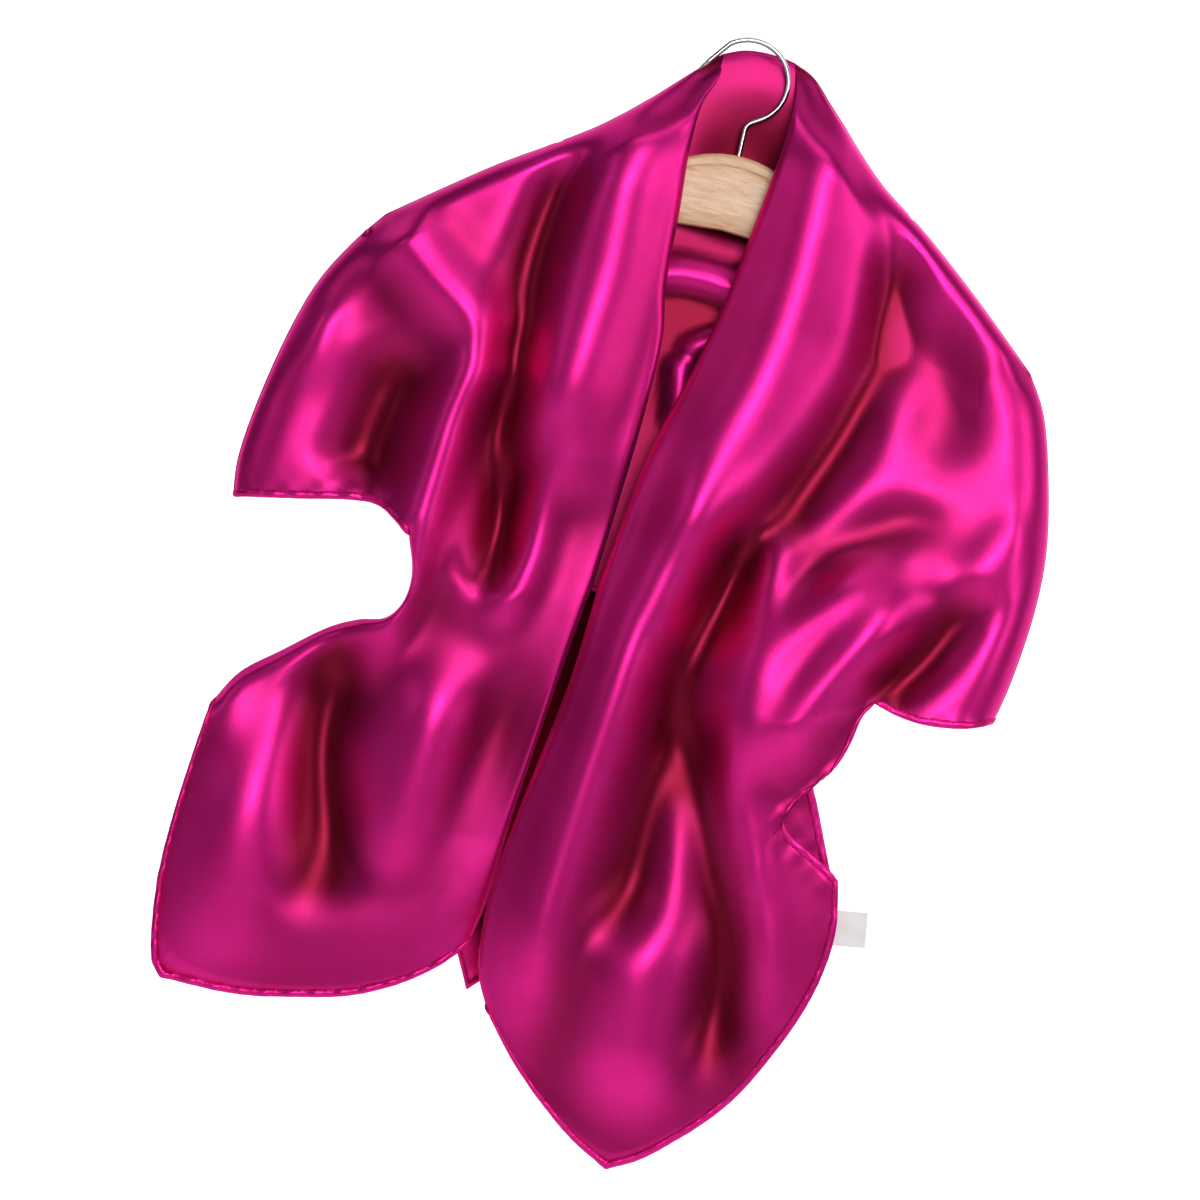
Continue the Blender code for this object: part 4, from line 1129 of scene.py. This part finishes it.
@dataclass
class Shawl:
    """The whole square of satin with its hem."""

    satin: bpy.types.Material
    hem_satin: bpy.types.Material
    left: Front = field(init=False)
    right: Front = field(init=False)
    back: Back = field(init=False)

    def __post_init__(self) -> None:
        """Set out the stretches."""
        self.left = Front(Hand.LEFT, SHOULDER_LEFT, SIDE_LEFT, LAPEL_LEFT, LAPEL_LEFT_LOW,
                          WAIST_LEFT, FLAP_HEM_LEFT, BITE_LEFT, HEM_LEFT_BOTTOM, HEM_LEFT_OUTER,
                          FULLNESS_LEFT, FOLDS_LEFT, covered=True, rolled_bite=True)
        self.right = Front(Hand.RIGHT, SHOULDER_RIGHT, SIDE_RIGHT, LAPEL_RIGHT, LAPEL_RIGHT_LOW,
                           WAIST_RIGHT, FLAP_HEM_RIGHT, BITE_RIGHT, HEM_RIGHT_INNER,
                           HEM_RIGHT_OUTER, FULLNESS_RIGHT, FOLDS_RIGHT)
        self.back = Back(FOLDS_BACK, FOLDS_INNER)

    def build(self) -> None:
        """Make the cloth and its hem."""
        cloth = ClothMesh()
        self.left.build(cloth, WAIST_LEFT_SHARE)
        self.right.build(cloth, WAIST_RIGHT_SHARE)
        self.back.build(cloth)
        facing = self.facing()
        cloth.lay(facing, False)
        sheet = cloth.make("shawl_satin")
        add_wall(sheet, CLOTH_THICK, -1.0)
        apply_modifiers(sheet)
        paint_fold_shade(sheet)
        dress(sheet, self.satin, "satin", "shawl_front_left", "shawl_front_right", "shawl_back",
              "shawl_inner_back")
        hem = self.build_hem(facing)
        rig.sheet(sheet, flat=(1.273, 0.636), area=0.45, held="hung", rests_on=["hanger_body"],
                 with_pieces=[hem])

    def facing(self) -> np.ndarray:
        """Inner layer of the right front, which shows where the outer one's hem curves in."""
        across, down = FACING_CELLS
        outer, inner = smooth_line(FACING_OUTER, down), smooth_line(FACING_INNER, down)
        top = smooth_line((FACING_INNER[0], FACING_OUTER[0]), across)
        foot = smooth_line((FACING_INNER[-1], FACING_OUTER[-1]), across)
        grid = fill_outline(top, foot, inner, outer)
        return with_depth(grid, lambda points: self.right.depth(points) + FACING_BEHIND)

    def build_hem(self, facing: np.ndarray) -> bpy.types.Object:
        """Hem along every free edge that the fold doesn't turn in.

        Args:
            facing: Grid of the inner layer at the right notch.

        Returns:
            The hem, one joined piece.
        """
        left, right, outer = self.left, self.right, self.back.outer
        left_flap = left.lower.shape[1] - 1
        right_flap = right.lower.shape[1] - 1
        runs = [
            (left.upper[-1, left_flap:], left.upper[-2, left_flap:]),
            (left.lower[-1], left.lower[-2]),
            (right.upper[-1, right_flap:], right.upper[-2, right_flap:]),
            (right.lower[::-1, -1], right.lower[::-1, -2]),
            (right.lower[-1], right.lower[-2]),
            (outer[-1], outer[-2]),
            (facing[::-1, -1], facing[::-1, -2]),
        ]
        cloth = ClothMesh()
        hem = Hem()
        for number, (edge, inside) in enumerate(runs):
            hem.sweep(cloth, edge, inside, hem.seeds[0] * number)
            hem.stitch(cloth, edge, inside)
        return dress(cloth.make("shawl_hem"), self.hem_satin, "satin")


# ------------------------------------------------------------------ hanger
@dataclass
class Hanger:
    """Wooden body with a moulded line under its top edge, and the bent wire hook; sizes in mm."""

    wood: bpy.types.Material
    wire: bpy.types.Material
    thick: float = 12.0
    centre_x: float = 8.0
    reach: float = 186.0
    crown_top: float = -66.0
    crown_radius: float = 62.0
    crown_turn: float = 24.0        # degrees of the crown's arc on each side
    tip_top: float = -148.5
    tip_sink: float = 2.0
    centre_height: float = 43.0
    tip_height: float = 24.0
    tip_from: float = 0.9           # from this share of the tip's round on
    tip_thin: float = 0.6           # the faces are lower by this share of the edge
    foot_flat: float = 28.0         # half length of the lower edge's shallow middle
    foot_bow: float = 2.0
    edge: float = 1.6
    line_drop: float = 7.0
    line_deep: float = 0.8
    line_half: float = 0.016        # half its width, as a share of the board's height
    bevel: float = 0.5
    columns: int = 96
    wire_thick: float = 3.0
    wire_sides: int = 16
    stem_sunk: float = 11.0         # length of the stem inside the wood
    stem_rises: tuple[float, ...] = (3.5, 7.5, 7.9, 8.0)
    neck_radius: float = 6.0
    neck_turn: float = 58.0         # degrees that the swan neck bends by
    ring_radius: float = 23.6
    ring_x: float = 3.0
    ring_z: float = -22.1
    ring_turn: float = 186.0        # degrees of wire in the ring
    hook_tip: tuple[float, float] = (-25.5, -21.5)      # x and z
    tip_share: float = 0.55         # how far the wire's cut end is rounded off

    def top_edge(self, across: float) -> float:
        """Height of the wood's top edge at a distance from its middle."""
        turn = math.radians(self.crown_turn)
        shoulder = self.crown_radius * math.sin(turn)
        if across < shoulder:
            return self.crown_top - self.crown_radius + math.sqrt(
                self.crown_radius ** 2 - across ** 2)
        foot = self.crown_top - self.crown_radius * (1 - math.cos(turn))
        share = (across - shoulder) / (self.reach - shoulder)
        return foot + (self.tip_top - self.tip_sink - foot) * share

    def foot_edge(self, across: float) -> float:
        """Height of the wood's lower edge at a distance from its middle."""
        start = self.crown_top - self.centre_height
        if across < self.foot_flat:
            return start - self.foot_bow * across / self.foot_flat
        share = (across - self.foot_flat) / (self.reach - self.foot_flat)
        return (start - self.foot_bow
                + (self.tip_top - self.tip_height - start + self.foot_bow) * share)

    def build_body(self) -> None:
        """Board cut to the hanger's outline, its faces sunk for the moulded line."""
        line = self.line_drop / self.centre_height
        levels = ((0.0, self.edge), (0.045, 0.0), (line - self.line_half, 0.0),
                  (line, self.line_deep), (line + self.line_half, 0.0), (0.3, 0.0), (0.45, 0.0),
                  (0.6, 0.0), (0.78, 0.0), (0.945, 0.2 * self.edge), (1.0, self.edge))
        rows = len(levels) - 1      # each level is a share of the height and how far it is sunk
        bpy.ops.mesh.primitive_grid_add(x_subdivisions=self.columns, y_subdivisions=rows,
                                        size=1.0)
        body = bpy.context.object
        body.name = "hanger_wood"
        edit_mode(True)
        bpy.ops.mesh.select_all(action="SELECT")
        extrude((0, 0, 1.0))
        edit_mode(False)
        for vertex in body.data.vertices:
            down, sunk = levels[round((0.5 - vertex.co.y) * rows)]
            face = -1.0 if vertex.co.z > 0.5 else 1.0
            self.place(vertex, vertex.co.x * 2, down, face * (self.thick / 2 - sunk))
        self.finish_body(body)

    def place(self, vertex: bpy.types.MeshVertex, across: float, down: float,
              depth: float) -> None:
        """Move one corner of the grid to its place on the board.

        Args:
            vertex: The corner.
            across: -1 at the left tip, 1 at the right one.
            down: Share of the height that lies above it.
            depth: Its distance from the middle of the thickness, below 0 in front.
        """
        away = abs(across) * self.reach
        end = max(0.0, away - (self.reach - self.tip_height / 2)) / (self.tip_height / 2)
        top, foot = self.top_edge(away), self.foot_edge(away)
        middle, half = (top + foot) / 2, (top - foot) / 2
        half *= math.sqrt(max(0.02, 1 - end * end))
        if end > self.tip_from:
            depth -= math.copysign(self.tip_thin * self.edge, depth)
        vertex.co = (self.centre_x * MM + math.copysign(away, across) * MM, depth * MM,
                     (middle + half * (1 - 2 * down)) * MM)

    def finish_body(self, body: bpy.types.Object) -> None:
        """Soften the board's edges and dress it."""
        only(body)
        edit_mode(True)
        close_skin(0.00002)
        edit_mode(False)
        soft = body.modifiers.new("softened edge", "BEVEL")
        soft.width = self.bevel * MM
        soft.segments = 2
        soft.limit_method = "ANGLE"
        soft.angle_limit = math.radians(28)
        apply_modifiers(body)
        dress(body, self.wood, "beech", "hanger_body")
        only(body)
        bpy.ops.object.shade_smooth_by_angle(angle=math.radians(35))

    def build_hook(self) -> None:
        """Wire hook: a round section spun and drawn along the bends, from the wood up."""
        foot = (self.crown_top - self.stem_sunk) * MM
        bpy.ops.mesh.primitive_circle_add(vertices=self.wire_sides,
                                          radius=self.wire_thick / 2 * MM, fill_type="NGON",
                                          location=(self.centre_x * MM, 0, foot))
        hook = bpy.context.object
        hook.name = "hanger_wire"
        bpy.ops.object.transform_apply(location=True, rotation=True, scale=True)
        edit_mode(True)
        bpy.ops.mesh.select_all(action="SELECT")
        for rise in self.stem_rises:
            extrude((0, 0, rise * MM))
        edit_mode(False)
        self.bend_hook(hook)

    def bend_hook(self, hook: bpy.types.Object) -> None:
        """Spin the swan neck, the ring and the flared tip on from the stem's end."""
        stem_top = max(v.co.z for v in hook.data.vertices)
        only(hook)
        edit_mode(True)
        self.spin(8, self.neck_turn, (self.centre_x + self.neck_radius) * MM, stem_top)
        self.draw(hook, self.ring_point(-self.neck_turn), 2)
        self.spin(44, -self.ring_turn, self.ring_x * MM, self.ring_z * MM)
        self.draw(hook, Vector((self.hook_tip[0] * MM, 0.0, self.hook_tip[1] * MM)), 3)
        bpy.ops.transform.resize(value=(self.tip_share,) * 3)
        close_skin(0.00001)
        edit_mode(False)
        dress(hook, self.wire, "wire", "hanger_hook")

    @staticmethod
    def draw(hook: bpy.types.Object, goal: Vector, steps: int) -> None:
        """Draw the selected end face straight on to a goal, in even steps."""
        edit_mode(False)
        chosen = [v.co for v in hook.data.vertices if v.select]
        step = (goal - sum(chosen, Vector()) / len(chosen)) / steps
        edit_mode(True)
        for _ in range(steps):
            extrude(step)

    def ring_point(self, degrees: float) -> Vector:
        """Point of the ring's centre line at an angle from +X."""
        turn = math.radians(degrees)
        return Vector(((self.ring_x + self.ring_radius * math.cos(turn)) * MM, 0.0,
                       (self.ring_z + self.ring_radius * math.sin(turn)) * MM))

    @staticmethod
    def spin(steps: int, degrees: float, x: float, z: float) -> None:
        """Spin the selected end face about a line along Y, clockwise in front view."""
        bpy.ops.mesh.spin(steps=steps, angle=-math.radians(degrees), center=(x, 0.0, z),
                          axis=(0.0, 1.0, 0.0))


# ------------------------------------------------------------------ label
@dataclass
class Label:
    """Small woven label, folded once and caught in the right front's hem; it is bare."""

    tape: bpy.types.Material
    wide: float = 23.5
    tall: float = 20.0
    thick: float = 0.5
    behind: float = 1.4             # how far back it lies from its solid's middle
    lean: float = -8.0              # degrees, its outer end up
    curl: float = 1.2               # how far its outer end comes forward
    bow: float = 0.6                # how far its upper and lower edges go back
    wave: float = 0.3
    bevel: float = 0.12

    def build(self) -> None:
        """Curved leaf of tape in the space of the label's solid."""
        low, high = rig.box("label")
        bpy.ops.mesh.primitive_grid_add(x_subdivisions=16, y_subdivisions=14, size=1.0)
        leaf = bpy.context.object
        leaf.name = "label_tape"
        middle = (low + high) / 2
        lean = math.radians(self.lean)
        for vertex in leaf.data.vertices:
            u, v = vertex.co.x, vertex.co.y
            x, z = u * self.wide * MM, v * self.tall * MM
            curl = (self.curl * (u + 0.5) ** 2 - self.bow * v * v
                    + self.wave * math.sin(9 * v + 4 * u))
            vertex.co = (middle.x + x * math.cos(lean) + z * math.sin(lean),
                         middle.y + (self.behind - curl) * MM,
                         middle.z - x * math.sin(lean) + z * math.cos(lean))
        only(leaf)
        add_wall(leaf, self.thick, 0.0)
        edge = leaf.modifiers.new("edge", "BEVEL")
        edge.width = self.bevel * MM
        edge.segments = 2
        apply_modifiers(leaf)
        dress(leaf, self.tape, "label_tape", "label")
        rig.sheet(leaf, flat=(0.0235, 0.020), held="hung", rests_on=["shawl_satin"])


# ------------------------------------------------------------------ finishes
Value = float | tuple[float, ...] | bpy.types.NodeSocket


def linear(code: str) -> tuple[float, ...]:
    """Linear colour from an sRGB hex code."""
    parts = [int(code[i:i + 2], 16) / 255 for i in (1, 3, 5)]
    return (*(p / 12.92 if p <= 0.04045 else ((p + 0.055) / 1.055) ** 2.4 for p in parts), 1.0)


class Recipe:
    """A material, and short ways to add nodes to it; each gives the socket to go on from."""

    def __init__(self, name: str) -> None:
        """Make the material with its Principled shader."""
        self.made = bpy.data.materials.new(name)
        self.made.use_nodes = True
        self.tree = self.made.node_tree
        self.shader = self.tree.nodes["Principled BSDF"]
        self.place = None

    def fill(self, node: bpy.types.Node, inputs: dict[str | int, Value]) -> None:
        """Set a node's inputs by name or number, or link them where the value is a socket."""
        for name, value in inputs.items():
            if isinstance(value, bpy.types.NodeSocket):
                self.tree.links.new(value, node.inputs[name])
            else:
                node.inputs[name].default_value = value

    def add(self, kind: str, output: str | int, inputs: dict[str | int, Value] | None = None,
            **settings: str) -> bpy.types.NodeSocket:
        """Add a node.

        Args:
            kind: Blender's name for the node type, after "ShaderNode".
            output: The output that is wanted of it.
            inputs: Values or sockets, by the input's name or number.
            settings: Properties of the node itself.

        Returns:
            The output's socket.
        """
        node = self.tree.nodes.new("ShaderNode" + kind)
        for name, value in settings.items():
            setattr(node, name, value)
        self.fill(node, inputs or {})
        return node.outputs[output]

    def shade(self, **inputs: Value) -> None:
        """Set or link inputs of the shader; an underscore stands for a space."""
        self.fill(self.shader, {name.replace("_", " "): value
                                for name, value in inputs.items()})

    def noise(self, vector: bpy.types.NodeSocket, scale: float, detail: float,
              **inputs: float) -> bpy.types.NodeSocket:
        """Noise texture."""
        return self.add("TexNoise", "Fac", {"Vector": vector, "Scale": scale,
                                            "Detail": detail, **inputs})

    def stretched(self, vector: bpy.types.NodeSocket,
                  scale: tuple[float, float, float]) -> bpy.types.NodeSocket:
        """Coordinates scaled by axis."""
        return self.add("Mapping", "Vector", {"Vector": vector, "Scale": scale})

    def product(self, first: Value, second: Value) -> bpy.types.NodeSocket:
        """One value times the other."""
        return self.add("Math", "Value", {0: first, 1: second}, operation="MULTIPLY")

    def spread(self, value: Value, low: float, high: float) -> bpy.types.NodeSocket:
        """The value's stretch from low to high, spread over 0 to 1."""
        return self.add("MapRange", "Result", {"Value": value, "From Min": low,
                                               "From Max": high})

    def mix(self, share: Value, first: Value, second: Value) -> bpy.types.NodeSocket:
        """Colour between two others."""
        return self.add("Mix", 2, {"Factor": share, 6: first, 7: second}, data_type="RGBA")

    def bump(self, height: Value, strength: float, reach: float,
             **inputs: Value) -> bpy.types.NodeSocket:
        """Normal that stands for small unevenness."""
        return self.add("Bump", "Normal", {"Height": height, "Strength": strength,
                                           "Distance": reach, **inputs})


@dataclass(frozen=True)
class Satin:
    """Charmeuse: a smooth shiny face of long threads over a fine diagonal weave."""

    colour: str = "#EC2496"
    deep: str = "#E01C86"
    hollow: str = "#7A0228"     # painted shade: the dark red that the colour turns to deep in a fold
    glow: str = "#FF9ADC"
    weave_bump: float = 0.05
    crease_bump: float = 0.18

    def build(self, name: str) -> bpy.types.Material:
        """Make the material; the weave runs with the UV map, which holds metres."""
        recipe = Recipe(name)
        place = recipe.add("TexCoord", "Object")
        uv = recipe.add("UVMap", "UV", uv_map="weave")
        threads = recipe.noise(recipe.stretched(uv, (2400.0, 260.0, 1.0)), 1.0, 3.0)
        broad = recipe.noise(place, 34.0, 4.0, Roughness=0.55)
        tint = recipe.spread(recipe.product(threads, broad), 0.12, 0.38)
        face = recipe.mix(tint, linear(self.deep), linear(self.colour))
        # painted shade: the hollow attribute mixes the colour towards the dark red in the folds
        hollow = recipe.add("Attribute", "Fac", attribute_name="hollow")
        fine = recipe.bump(threads, self.weave_bump, 0.0002)
        recipe.shade(
            Base_Color=recipe.mix(hollow, face, linear(self.hollow)),
            Normal=recipe.bump(broad, self.crease_bump, 0.0012, Normal=fine),
            Metallic=0.94, Roughness=0.41, Anisotropic=0.2,
            Specular_IOR_Level=0.7, Specular_Tint=linear(self.glow),
            Sheen_Weight=0.03, Sheen_Roughness=0.45, Sheen_Tint=linear(self.glow),
            Coat_Weight=0.12, Coat_IOR=1.5, Coat_Roughness=0.36)
        return recipe.made


def beech() -> bpy.types.Material:
    """Pale clear-lacquered wood, its grain along the hanger."""
    recipe = Recipe("beech")
    place = recipe.add("TexCoord", "Object")
    grain = recipe.noise(recipe.stretched(place, (16.0, 90.0, 170.0)), 1.0, 5.0,
                         Roughness=0.6, Distortion=0.6)
    pores = recipe.noise(recipe.stretched(place, (110.0, 420.0, 900.0)), 1.0, 2.0)
    figure = recipe.product(grain, pores)
    recipe.shade(
        Base_Color=recipe.mix(recipe.spread(figure, 0.16, 0.36), linear("#D8A878"),
                              linear("#EFC7A4")),
        Normal=recipe.bump(figure, 0.15, 0.0003),
        Roughness=0.42, Coat_Weight=0.25, Coat_Roughness=0.25)
    return recipe.made


def plated_wire() -> bpy.types.Material:
    """Bright plated steel with faint drawing marks."""
    recipe = Recipe("plated_wire")
    marks = recipe.noise(recipe.add("TexCoord", "Object"), 900.0, 3.0)
    dull = recipe.add("MapRange", "Result", {"Value": marks, "To Min": 0.2 - 0.05,
                                             "To Max": 0.2 + 0.1})
    recipe.shade(Roughness=dull, Base_Color=linear("#C9CCD0"), Metallic=1.0)
    return recipe.made


def label_tape() -> bpy.types.Material:
    """White woven label tape."""
    recipe = Recipe("label_tape")
    weave = recipe.add("TexWave", "Fac", {"Vector": recipe.add("TexCoord", "Object"),
                                          "Scale": 1300.0, "Distortion": 0.6},
                       bands_direction="Z")
    recipe.shade(Normal=recipe.bump(weave, 0.2, 0.0001), Base_Color=linear("#F3F1F1"),
                 Roughness=0.6, Sheen_Weight=0.15)
    return recipe.made


def paper(name: str, glow: float) -> bpy.types.Material:
    """White paper of the studio that is lit a little from behind."""
    recipe = Recipe(name)
    recipe.shade(Base_Color=linear("#F4F3F2"), Roughness=0.9,
                 Emission_Color=linear("#FFFFFF"), Emission_Strength=glow)
    return recipe.made


# ------------------------------------------------------------------ studio
@dataclass(frozen=True)
class Softbox:
    """A rectangular area light that looks at the middle of the shawl."""

    name: str
    place: tuple[float, float, float]
    wide: float
    tall: float
    power: float

    def build(self, aim: Vector) -> None:
        """Hang the light."""
        lamp = bpy.data.lights.new(self.name, "AREA")
        lamp.shape = "RECTANGLE"
        lamp.size, lamp.size_y = self.wide, self.tall
        lamp.energy = self.power
        held = bpy.data.objects.new(self.name, lamp)
        held.location = self.place
        held.rotation_euler = (aim - Vector(self.place)).to_track_quat("-Z", "Y").to_euler()
        bpy.context.scene.collection.objects.link(held)


@dataclass(frozen=True)
class Studio:
    """Pale floor and far backdrop, soft lights and the camera; sizes in metres."""

    middle: tuple[float, float, float] = (-0.0124, 0.0, -0.332)
    distance: float = 1.8
    lean: float = 13.0              # degrees that the picture is turned by
    lens: float = 93.9
    sensor: float = 36.0
    sheet_size: float = 12.0
    floor_z: float = -1.30
    wall_y: float = 2.3
    floor_glow: float = 0.12
    wall_glow: float = 0.9
    world_glow: float = 0.03
    softboxes: tuple[Softbox, ...] = (
        Softbox("key_front", (0.2, -2.0, 0.15), 0.5, 0.8, 14.5),
        Softbox("key_high", (0.55, -1.6, 0.95), 0.6, 0.4, 8.5),
        Softbox("key_left", (-1.3, -0.9, 0.2), 0.3, 0.9, 1.5),
        Softbox("key_right", (1.35, -0.7, 0.15), 0.3, 1.1, 5.0),
        Softbox("top", (0.0, -0.45, 1.1), 1.0, 0.4, 2.5),
        Softbox("back_fill", (0.3, 1.5, 0.4), 1.2, 1.2, 8.0),
    )

    def build(self) -> None:
        """Set everything up."""
        floor = self.sheet("studio_floor", (0, 0, self.floor_z), 0.0)
        wall = self.sheet("studio_wall", (0, self.wall_y, 0), 90.0)
        floor.data.materials.append(paper("floor_paper", self.floor_glow))
        wall.data.materials.append(paper("wall_paper", self.wall_glow))
        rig.stage(floor, wall)
        for softbox in self.softboxes:
            softbox.build(Vector(self.middle))
        world = bpy.data.worlds.new("studio")
        world.use_nodes = True
        back = world.node_tree.nodes["Background"]
        back.inputs["Color"].default_value = linear("#E9ECF2")
        back.inputs["Strength"].default_value = self.world_glow
        bpy.context.scene.world = world
        bpy.context.scene.view_settings.view_transform = "Standard"
        self.build_camera()

    def sheet(self, name: str, place: tuple[float, float, float],
              tilt: float) -> bpy.types.Object:
        """A big square of paper, tilted back from level by some degrees."""
        bpy.ops.mesh.primitive_plane_add(size=self.sheet_size, location=place,
                                         rotation=(math.radians(tilt), 0, 0))
        made = bpy.context.object
        made.name = name
        return made

    def build_camera(self) -> None:
        """Camera square to the garment, turned about its own axis as in the picture."""
        data = bpy.data.cameras.new("camera")
        data.lens = self.lens
        data.sensor_width = self.sensor
        camera = bpy.data.objects.new("camera", data)
        x, y, z = self.middle
        camera.location = (x, y - self.distance, z)
        camera.rotation_euler = (math.radians(90), math.radians(-self.lean), 0)
        bpy.context.scene.collection.objects.link(camera)
        bpy.context.scene.camera = camera


# ------------------------------------------------------------------ everything
def write_size(when: str) -> None:
    """Note the model's bounds before and after this script's work."""
    low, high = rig.bounds()
    size = {}
    if when == "after":
        with open(SIZE_FILE, encoding="utf-8") as held:
            size = json.load(held)
    size[when] = [[round(v, 5) for v in low], [round(v, 5) for v in high]]
    with open(SIZE_FILE, "w", encoding="utf-8") as held:
        json.dump(size, held)
    LOG.info("bounds %s: %s", when, size[when])


def main() -> None:
    """Build the looks on the CAD frame."""
    logging.basicConfig(level=logging.INFO, format="%(message)s")
    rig.load()
    bpy.ops.object.select_all(action="DESELECT")
    write_size("before")
    satin = Satin().build("satin")
    hem_satin = Satin(weave_bump=0.1, crease_bump=0.1).build("hem_satin")
    Shawl(satin, hem_satin).build()
    hanger = Hanger(beech(), plated_wire())
    hanger.build_body()
    hanger.build_hook()
    Label(label_tape()).build()
    Studio().build()
    write_size("after")


if __name__ == "__main__":
    main()
